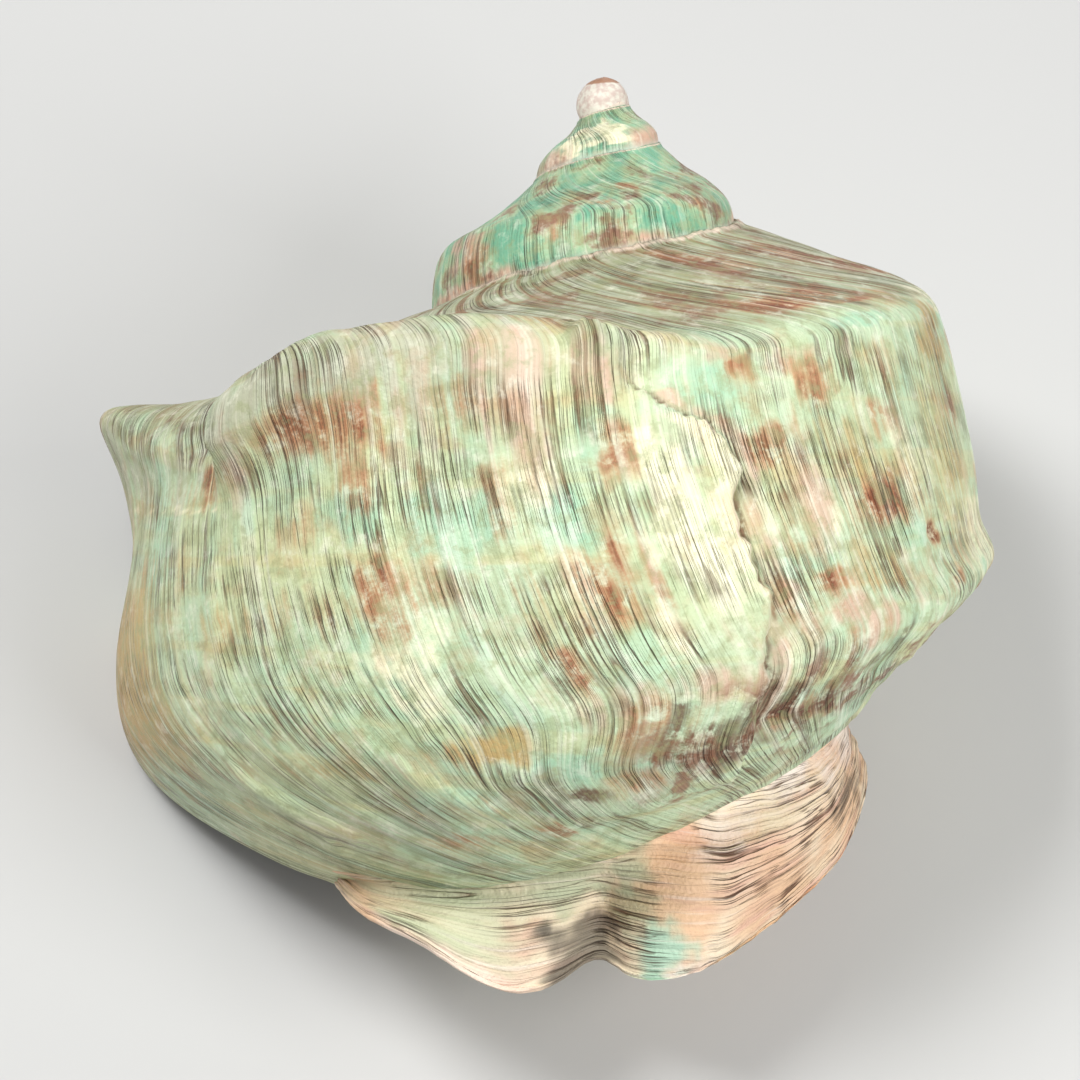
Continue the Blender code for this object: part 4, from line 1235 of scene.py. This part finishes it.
    def round_lip(
        self, outer: np.ndarray, turns: np.ndarray, places: np.ndarray, inner: np.ndarray, inner_turns: np.ndarray
    ) -> tuple[np.ndarray, np.ndarray, np.ndarray]:
        """Rounds the lip between the skin's last column and the hollow's first.

        Args:
            outer: The skin's points.
            turns: The skin's turns.
            places: The skin's places.
            inner: The hollow's points.
            inner_turns: The hollow's turns; not used.

        Returns:
            The lip's points, turns and places.
        """
        start = outer[-1]
        end = inner[0]
        ahead = start - outer[-2]
        ahead = ahead / np.maximum(np.linalg.norm(ahead, axis=-1, keepdims=True), 1e-9)
        shares = (np.arange(self.lip_columns) + 1) / (self.lip_columns + 1)
        points = []
        for share in shares:
            swing = math.pi * share
            middle = start + (end - start) * (1 - math.cos(swing)) / 2
            points.append(middle + ahead * 0.9 * math.sin(swing))
        shape = (self.lip_columns,) + turns.shape[1:]
        step = shares[:, None] * 0.004
        return np.array(points), np.broadcast_to(turns[-1], shape) + step, np.broadcast_to(places[-1], shape)


@dataclass
class Spire:
    """The earlier whorls, solid, from the apex to where the last whorl starts."""

    end_turn: float = -0.655
    columns: int = 430
    rows: int = 118

    def build(self, sutures: Sutures, materials: list[bpy.types.Material]) -> bpy.types.Object:
        """Makes the spire.

        Args:
            sutures: What GrowthForm.sutures returns.
            materials: The skin's material.

        Returns:
            The finished piece.
        """
        base = np.linspace(FORM.apex_turn, self.end_turn, 2000)
        total = np.concatenate(([0.0], np.cumsum(FORM.size(base[1:]) ** 0.5)))
        turns = np.interp(np.linspace(0, total[-1], self.columns), total, base)[:, None]
        upper = FORM.places_by_arc(0, 7, int(self.rows * 0.68))
        lower = FORM.places_by_arc(7, 12, self.rows - len(upper) + 1)[1:]
        places = np.concatenate((upper, lower, np.linspace(12, 14, 9)[1:]))[None, :]
        turns, places = np.broadcast_arrays(turns, places)
        comes_out = np.interp(turns, sutures[0], sutures[1])
        edge = (FORM.arc(places) - FORM.arc(comes_out)) * FORM.size(turns)
        covered = np.interp(turns + 1, sutures[0], sutures[2])
        covered = np.where(turns + 1 > FORM.lip_turn, 40.0, FORM.arc(covered))
        cover = (covered - FORM.arc(places)) * FORM.size(turns)
        cover = np.where(turns + 1 > FORM.lip_turn, 60.0, cover)
        height = SkinRelief().height(turns, places, edge) / FORM.size(turns)
        height = height * np.where(places > 12, 0.0, 1.0)
        point = FORM.plain(turns, places) + FORM.outward(turns, places) * height[..., None]
        shrink = 1 - 0.012 * smooth((turns + 0.70) / 0.045)
        grid = FORM.to_space(turns, point * shrink[..., None])
        marks = SkinPaint().marks(turns, np.minimum(places, 12.5), edge, cover)
        grid, turns, places = closed(grid), closed(turns), closed(places)
        marks = {name: closed(value) for name, value in marks.items()}
        along = WHORL_LENGTH * MM * FORM.size(FORM.growth(turns, places))
        across = FORM.arc(places) * FORM.size(turns) * MM
        sheet = Sheet("spire", keep_inside(REST.lay(grid)), along, across, marks)
        return dress(sheet.build(materials))


@dataclass
class Apron:
    """The fluted base that flares out under the last whorl."""

    table: tuple[tuple[float, ...], ...] = (
        (-58, 64, 148.5, 62, 146, 0.0, 0.00), (-50, 66.3, 151.8, 60, 147.5, 0.0, 0.00),
        (-42, 65.8, 154.5, 57, 149, 0.3, 0.00), (-34, 64.5, 158.5, 53, 149, 0.8, 0.00),
        (-30, 60, 164, 51, 148.5, 1.5, 0.00), (-25, 54, 167.5, 49.5, 148, 2.5, 0.05),
        (-19, 49.5, 166.5, 47.5, 147, 1.0, 0.15), (-13, 44, 163.3, 46, 146, -2.5, 0.30),
        (-9, 42.5, 162.8, 45, 145, -3.5, 0.45), (-3, 44.5, 165.5, 44.5, 143.5, -1.0, 0.65),
        (3, 46, 166.3, 44, 142, 1.0, 0.80), (11, 46.5, 165.2, 43, 139.5, 2.5, 0.95),
        (21, 43.5, 163, 42, 136, 3.0, 1.00), (32, 44, 158.3, 41, 133, 3.0, 1.00),
        (45, 44, 153, 40, 129, 2.5, 1.00), (60, 44.3, 147, 38.5, 124.5, 2.0, 1.00),
        (75, 45, 138.5, 37, 119, 1.5, 1.00), (90, 45.5, 132, 35.5, 114.5, 1.0, 1.00),
        (108, 41.5, 126, 32, 109.5, 0.5, 1.00), (126, 34, 123.5, 27, 106, 0.0, 1.00),
        (142, 24, 124, 19, 104, 0.0, 1.00), (158, 13, 126, 11, 104, 0.0, 1.00),
    )
    thick: float = 2.6
    columns: int = 430
    face_rows: int = 56
    back_rows: int = 26

    def values(self, azimuth: np.ndarray) -> np.ndarray:
        """Returns the table's values at each azimuth, eased between its rows."""
        rows = np.array(self.table)
        result = np.zeros(azimuth.shape + (6,))
        offsets = np.linspace(-2.2, 2.2, 9)
        for offset in offsets:
            near = np.clip(azimuth + offset, rows[0, 0], rows[-1, 0])
            result += np.stack([np.interp(near, rows[:, 0], rows[:, k]) for k in range(1, 7)], axis=-1)
        return result / len(offsets)

    def section(self, azimuth: float, values: np.ndarray) -> tuple[np.ndarray, np.ndarray]:
        """Finds the apron's section at an azimuth.

        Args:
            azimuth: Angle round the axis, in degrees.
            values: Edge radius and depth, groove radius and depth, bulge, and share that is solid.

        Returns:
            The section's points as (radius, depth) in mm, down its face and back, and how far down the
            face each one is.
        """
        edge, groove = values[0:2], values[2:4]
        bulge, solid = values[4:6]
        face = edge - groove
        length = max(float(np.linalg.norm(face)), 1.0)
        out = np.array((face[1], -face[0])) / length
        back = -out
        keys = np.array((
            groove - face * 0.12, groove, groove + face * 0.15 + out * bulge * 0.3,
            groove + face * 0.40 + out * bulge, groove + face * 0.70 + out * bulge * 0.7, edge,
        ))
        outer = curve_at(keys, np.linspace(0, 5, 161))
        turn = np.full(261, -(azimuth + 90) / 360)
        base = FORM.plain(turn, np.linspace(7.5, 12.6, 261)) * FORM.size(turn)[:, None]
        gaps = np.linalg.norm(base[:, None] - outer[None, :80], axis=-1)
        on_base, on_face = np.unravel_index(np.argmin(gaps), gaps.shape)
        reach = 4.0
        base_lengths = np.concatenate(([0.0], np.cumsum(np.linalg.norm(np.diff(base, axis=0), axis=1))))
        face_lengths = np.concatenate(([0.0], np.cumsum(np.linalg.norm(np.diff(outer, axis=0), axis=1))))
        start_at = base_lengths[on_base] - reach
        start = np.array([np.interp(start_at, base_lengths, base[:, k]) for k in (0, 1)])
        end_at = min(face_lengths[on_face] + reach, face_lengths[-1] * 0.6)
        end = np.array([np.interp(end_at, face_lengths, outer[:, k]) for k in (0, 1)])
        corner = (base[on_base] + outer[on_face]) / 2
        share = np.linspace(0, 1, 14)[:, None]
        fillet = start * (1 - share) ** 2 + corner * 2 * share * (1 - share) + end * share**2
        inward = np.array((-0.5, -0.87)) * 0.45
        fillet = fillet + inward * (1 - smooth(share * 3))
        rest = np.linspace(end_at, face_lengths[-1], self.face_rows - 14 + 1)[1:]
        down = np.stack([np.interp(rest, face_lengths, outer[:, k]) for k in (0, 1)], axis=-1)
        hidden = (start + inward * 5)[None]
        front = np.concatenate((hidden, fillet, down))
        low = (groove + face * 0.70 + back * self.thick) * (1 - solid)
        low = low + np.array((edge[0] * 0.55, edge[1] - 3.0 * solid - 2.0)) * solid
        deep = (groove + face * 0.30 + back * self.thick) * (1 - solid)
        deep = deep + np.array((6.0, 151.0 - 0.10 * max(azimuth - 40, 0))) * solid
        top = (groove + back * (1.2 + 1.6) - np.array((0.0, 2.2))) * (1 - solid)
        top = top + np.array((3.0, 118.0 - 0.10 * max(azimuth, 0))) * solid
        tip = edge + back * self.thick * 0.8 - face / length * 0.3
        rounding = (edge + tip) / 2 + face / length * 0.4
        behind = curve_at(np.array((edge, rounding, tip, low, deep, top)), np.linspace(0, 5, self.back_rows + 1)[1:])
        points = np.concatenate((front, behind))
        depth = np.concatenate(([0.0], np.cumsum(np.linalg.norm(np.diff(points, axis=0), axis=1))))
        return points, depth

    def marks(self, azimuth: np.ndarray, from_edge: np.ndarray, share: np.ndarray) -> dict[str, np.ndarray]:
        """Finds the masks of the apron.

        Args:
            azimuth: Angles of the points.
            from_edge: Distance of the points from the edge, in mm.
            share: How far down the face the points are, from 0 to 1.

        Returns:
            Three masks for each of marks_a and marks_b.
        """
        wander = (PAINT.layered(azimuth / 6, from_edge / 4) - 0.5) * 12
        stray = (PAINT.layered(azimuth / 4 + 40, from_edge / 7) - 0.5) * 0.3

        def patch(middle: float, half: float, low: float, high: float, strength: float) -> np.ndarray:
            """Returns one soft patch between two shares of the face."""
            side = 1 - smooth((np.abs(azimuth + wander - middle) / half - 0.1) / 1.3)
            level = smooth((share + stray - low) / 0.3 + 0.5) * (1 - smooth((share + stray - high) / 0.3 + 0.5))
            return strength * side * level

        teal = patch(3, 8, 0.70, 1.2, 1.0)
        # Painted shade: the valley between the two lobes is darkened, lower down its face.
        dark = patch(-13, 8, 0.62, 1.3, 1.1)
        green = np.maximum.reduce([
            patch(-36, 20, -0.2, 0.95, 0.75), patch(-16, 10, -0.2, 0.5, 0.8), patch(-3, 8, -0.2, 0.7, 0.7),
            patch(10, 14, -0.2, 0.12, 0.6),
        ])
        white = np.maximum.reduce([
            patch(-36, 14, 0.85, 1.2, 0.5), patch(48, 16, -0.1, 0.34, 1.0), patch(82, 20, 0.0, 0.55, 0.9),
            patch(22, 10, 0.10, 0.50, 0.6), patch(8, 10, 0.93, 1.2, 0.9), patch(60, 10, 0.3, 0.6, 0.6),
        ])
        # A brown band on the right; the narrow patch at -18 degrees is painted shade on the valley's left wall.
        band_and_valley_shade = np.maximum.reduce([
            patch(68, 18, 0.66, 0.84, 0.9), patch(40, 16, 0.74, 0.86, 0.45), patch(-18, 4, 0.6, 1.0, 0.4),
        ])
        pink = np.maximum.reduce([
            patch(-23, 6, 0.45, 0.80, 0.9), patch(80, 26, 0.0, 0.6, 0.6), patch(35, 20, 0.45, 0.9, 0.4),
        ])
        return {"marks_a": np.stack((teal, dark, green), axis=-1), "marks_b": np.stack((white, band_and_valley_shade, pink), axis=-1)}

    def build(self, materials: list[bpy.types.Material]) -> bpy.types.Object:
        """Makes the apron.

        Args:
            materials: The base's material.

        Returns:
            The finished piece.
        """
        azimuths = np.linspace(self.table[0][0], self.table[-1][0], self.columns)
        values = self.values(azimuths)
        sections = [self.section(float(azimuth), row) for azimuth, row in zip(azimuths, values)]
        flat = np.array([points for points, _ in sections])
        depth = np.array([lengths for _, lengths in sections])
        front = self.face_rows + 1
        edge_at = depth[:, front - 1 : front]
        from_edge = edge_at - depth
        share = depth / edge_at
        angle = np.broadcast_to(azimuths[:, None], depth.shape)
        along_edge = np.radians(azimuths)[:, None] * 45.0
        along_edge = np.broadcast_to(along_edge, depth.shape)
        stray = (RELIEF.layered(along_edge / 18, 5.0) - 0.5) * 5
        near = np.clip(share, 0, 1) ** 2
        field = from_edge * near + (165 - flat[..., 1]) * (1 - near) + stray
        lines = RELIEF.layered(field / 2.6, along_edge / 40, 2) - 0.5
        wide = RELIEF.layered(field / 7, along_edge / 60) - 0.5
        outer = smooth(share / 0.25) * (1 - smooth((share - 1.0) / 0.05))
        ragged = (RELIEF.layered(along_edge / 5, 8.0) - 0.5) * 1.6 * smooth((share - 0.6) / 0.4) * (share < 1.3)
        direction = np.stack((np.gradient(flat[..., 1], axis=1), -np.gradient(flat[..., 0], axis=1)), axis=-1)
        direction = direction / np.maximum(np.linalg.norm(direction, axis=-1, keepdims=True), 1e-9)
        height = (lines * 1.3 + wide * 1.1) * outer - 0.25 * outer
        flat = flat + direction * height[..., None]
        flat[..., 1] -= np.abs(ragged) * 0.6
        radians = np.radians(angle)
        grid = np.stack((flat[..., 0] * np.sin(radians), -flat[..., 0] * np.cos(radians), -flat[..., 1]), axis=-1)
        marks = self.marks(angle, from_edge, share)
        along = np.where(share > 1, from_edge + stray, field) * MM
        across = along_edge * MM
        grid, along, across = closed(grid), closed(along), closed(across)
        marks = {name: closed(value) for name, value in marks.items()}
        sheet = Sheet("apron", keep_inside(REST.lay(grid)), along, across, marks)
        return dress(sheet.build(materials))


@dataclass
class Columella:
    """The pearly column round the axis, seen deep in the hollow."""

    profile: tuple[tuple[float, float], ...] = (
        (5, 0.4), (30, 3.0), (50, 6.0), (65, 10.0), (80, 13.0), (100, 14.5), (118, 15.0), (132, 13.0),
        (143, 9.5),
        (150, 5.0),
    )
    columns: int = 90
    rows: int = 64

    def build(self, materials: list[bpy.types.Material]) -> bpy.types.Object:
        """Makes the column.

        Args:
            materials: The pearl's material.

        Returns:
            The finished piece.
        """
        keys = np.array(self.profile)
        line = curve_at(keys, np.linspace(0, len(keys) - 1, self.columns))
        angle = np.linspace(0, 2 * math.pi, self.rows + 1)[None, :]
        twist = np.cos(angle * 2 + line[:, :1] / 12) * 0.25
        radius = np.maximum(line[:, 1:] - 0.3 + twist, 0.2)
        depth = np.broadcast_to(line[:, :1], radius.shape)
        grid = np.stack((radius * np.cos(angle), radius * np.sin(angle), -depth), axis=-1)
        grid[:, -1] = grid[:, 0]
        along = depth * MM
        across = np.broadcast_to(angle * 0.012, depth.shape)
        sheet = Sheet("columella", keep_inside(REST.lay(grid)), along, across, {})
        return dress(sheet.build(materials))


@dataclass
class WornTip:
    """The blunt, worn tip of the spire."""

    center: tuple[float, float, float] = (-1.1, 0.0, 5.7)
    half_sizes: tuple[float, float, float] = (5.2, 4.9, 5.5)
    columns: int = 56
    rows: int = 72

    def build(self, materials: list[bpy.types.Material]) -> bpy.types.Object:
        """Makes the tip.

        Args:
            materials: The tip's material.

        Returns:
            The finished piece.
        """
        slope = np.linspace(0.02, math.pi - 0.02, self.columns)[:, None]
        angle = np.linspace(0, 2 * math.pi, self.rows + 1)[None, :]
        lumps = RELIEF.layered(np.cos(angle) * 2 + 7, np.sin(angle) * 2 + slope * 2.2) - 0.5
        swell = 1 + 0.10 * lumps - 0.05
        unit = np.stack((
            np.sin(slope) * np.cos(angle), np.sin(slope) * np.sin(angle), np.broadcast_to(np.cos(slope), lumps.shape)
        ), axis=-1)
        grid = unit * np.array(self.half_sizes) * swell[..., None]
        grid = grid + np.array((self.center[0], self.center[1], -self.center[2]))
        grid[:, -1] = grid[:, 0]
        top = smooth((unit[..., 2] - 0.55) / 0.35)
        marks = {"marks_a": np.stack((top, top * 0, top * 0), axis=-1)}
        along = np.broadcast_to(slope * 0.005, top.shape)
        across = np.broadcast_to(angle * 0.005, top.shape)
        sheet = Sheet("worn_tip", keep_inside(REST.lay(grid)), along, across, marks)
        return dress(sheet.build(materials))


@dataclass
class Studio:
    """The table, the lights and the camera."""

    pixel: float = 0.19
    half_photo: float = 540
    distance: float = 650.0
    tilt: float = 0.03
    aim: tuple[float, float] = (-15.56, -87.88)
    shell_middle: tuple[float, float, float] = (0.0, 0.0, -85.0)

    def build(self) -> None:
        """Makes the table, the lights and the camera."""
        self.table()
        self.camera()
        self.world()
        self.light("key_light", (-280, -560, 420), 0.26, 4.5)
        self.light("fill_light", (480, -560, -80), 0.5, 4.2)
        self.light("rim_light", (200, 380, 420), 0.5, 1.2)

    def table(self) -> None:
        """Makes the pale table top."""
        bpy.ops.object.select_all(action="DESELECT")
        bpy.ops.mesh.primitive_plane_add(size=6, location=(0, 0, 0))
        table = bpy.context.active_object
        table.name = "table_top"
        material = bpy.data.materials.new("pale_table")
        material.use_nodes = True
        shader = material.node_tree.nodes["Principled BSDF"]
        shader.inputs["Base Color"].default_value = (0.60, 0.60, 0.59, 1)
        shader.inputs["Roughness"].default_value = 0.8
        table.data.materials.append(material)

    def world(self) -> None:
        """Makes the soft light of the room."""
        world = bpy.data.worlds.new("studio")
        bpy.context.scene.world = world
        world.use_nodes = True
        background = world.node_tree.nodes["Background"]
        background.inputs["Color"].default_value = (1.0, 1.0, 1.0, 1)
        background.inputs["Strength"].default_value = 0.24

    def camera(self) -> None:
        """Sets the camera where the photograph was taken from."""
        turn = Matrix(REST.matrix().tolist())
        right = turn @ Vector((1, 0, -self.tilt)).normalized()
        up = turn @ Vector((self.tilt, 0, 1)).normalized()
        back = right.cross(up)
        place = Vector(REST.lay(np.array((self.aim[0], -self.distance, self.aim[1]))))
        data = bpy.data.cameras.new("camera")
        data.sensor_fit = "HORIZONTAL"
        data.angle = 2 * math.atan(self.half_photo * self.pixel / self.distance)
        data.clip_start = 0.02
        camera = bpy.data.objects.new("camera", data)
        camera.matrix_world = Matrix((
            (right.x, up.x, back.x, place.x), (right.y, up.y, back.y, place.y), (right.z, up.z, back.z, place.z),
            (0, 0, 0, 1),
        ))
        bpy.context.scene.collection.objects.link(camera)
        bpy.context.scene.camera = camera

    def light(self, name: str, upright: tuple[float, float, float], size: float, power: float) -> None:
        """Adds a soft square light that faces the shell.

        Args:
            name: The light's name.
            upright: Its place beside the upright shell, in mm from the shell's middle.
            size: Its side in metres.
            power: Its power in watts.
        """
        middle = Vector(REST.lay(np.array(self.shell_middle)))
        place = Vector(REST.lay(np.array(upright) + np.array(self.shell_middle)))
        place.z = max(place.z, 0.12)
        data = bpy.data.lights.new(name, "AREA")
        data.size = size
        data.energy = power
        light = bpy.data.objects.new(name, data)
        turn = (place - middle).to_track_quat("Z", "Y").to_matrix().to_4x4()
        light.matrix_world = Matrix.Translation(place) @ turn
        bpy.context.scene.collection.objects.link(light)


def main() -> None:
    """Builds the shell piece by piece, then the studio."""
    logging.basicConfig(level=logging.INFO)
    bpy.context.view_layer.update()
    effects = Effects()
    skin = SkinFinish().make(effects)
    pearl = PearlFinish().make(effects)
    sutures = FORM.sutures()
    LastWhorl().build(sutures, [skin, pearl])
    Spire().build(sutures, [skin])
    Apron().build([ApronFinish().make(effects)])
    Columella().build([pearl])
    WornTip().build([TipFinish().make(effects)])
    Studio().build()
    bpy.context.scene.view_settings.view_transform = "Standard"


if __name__ == "__main__":
    main()
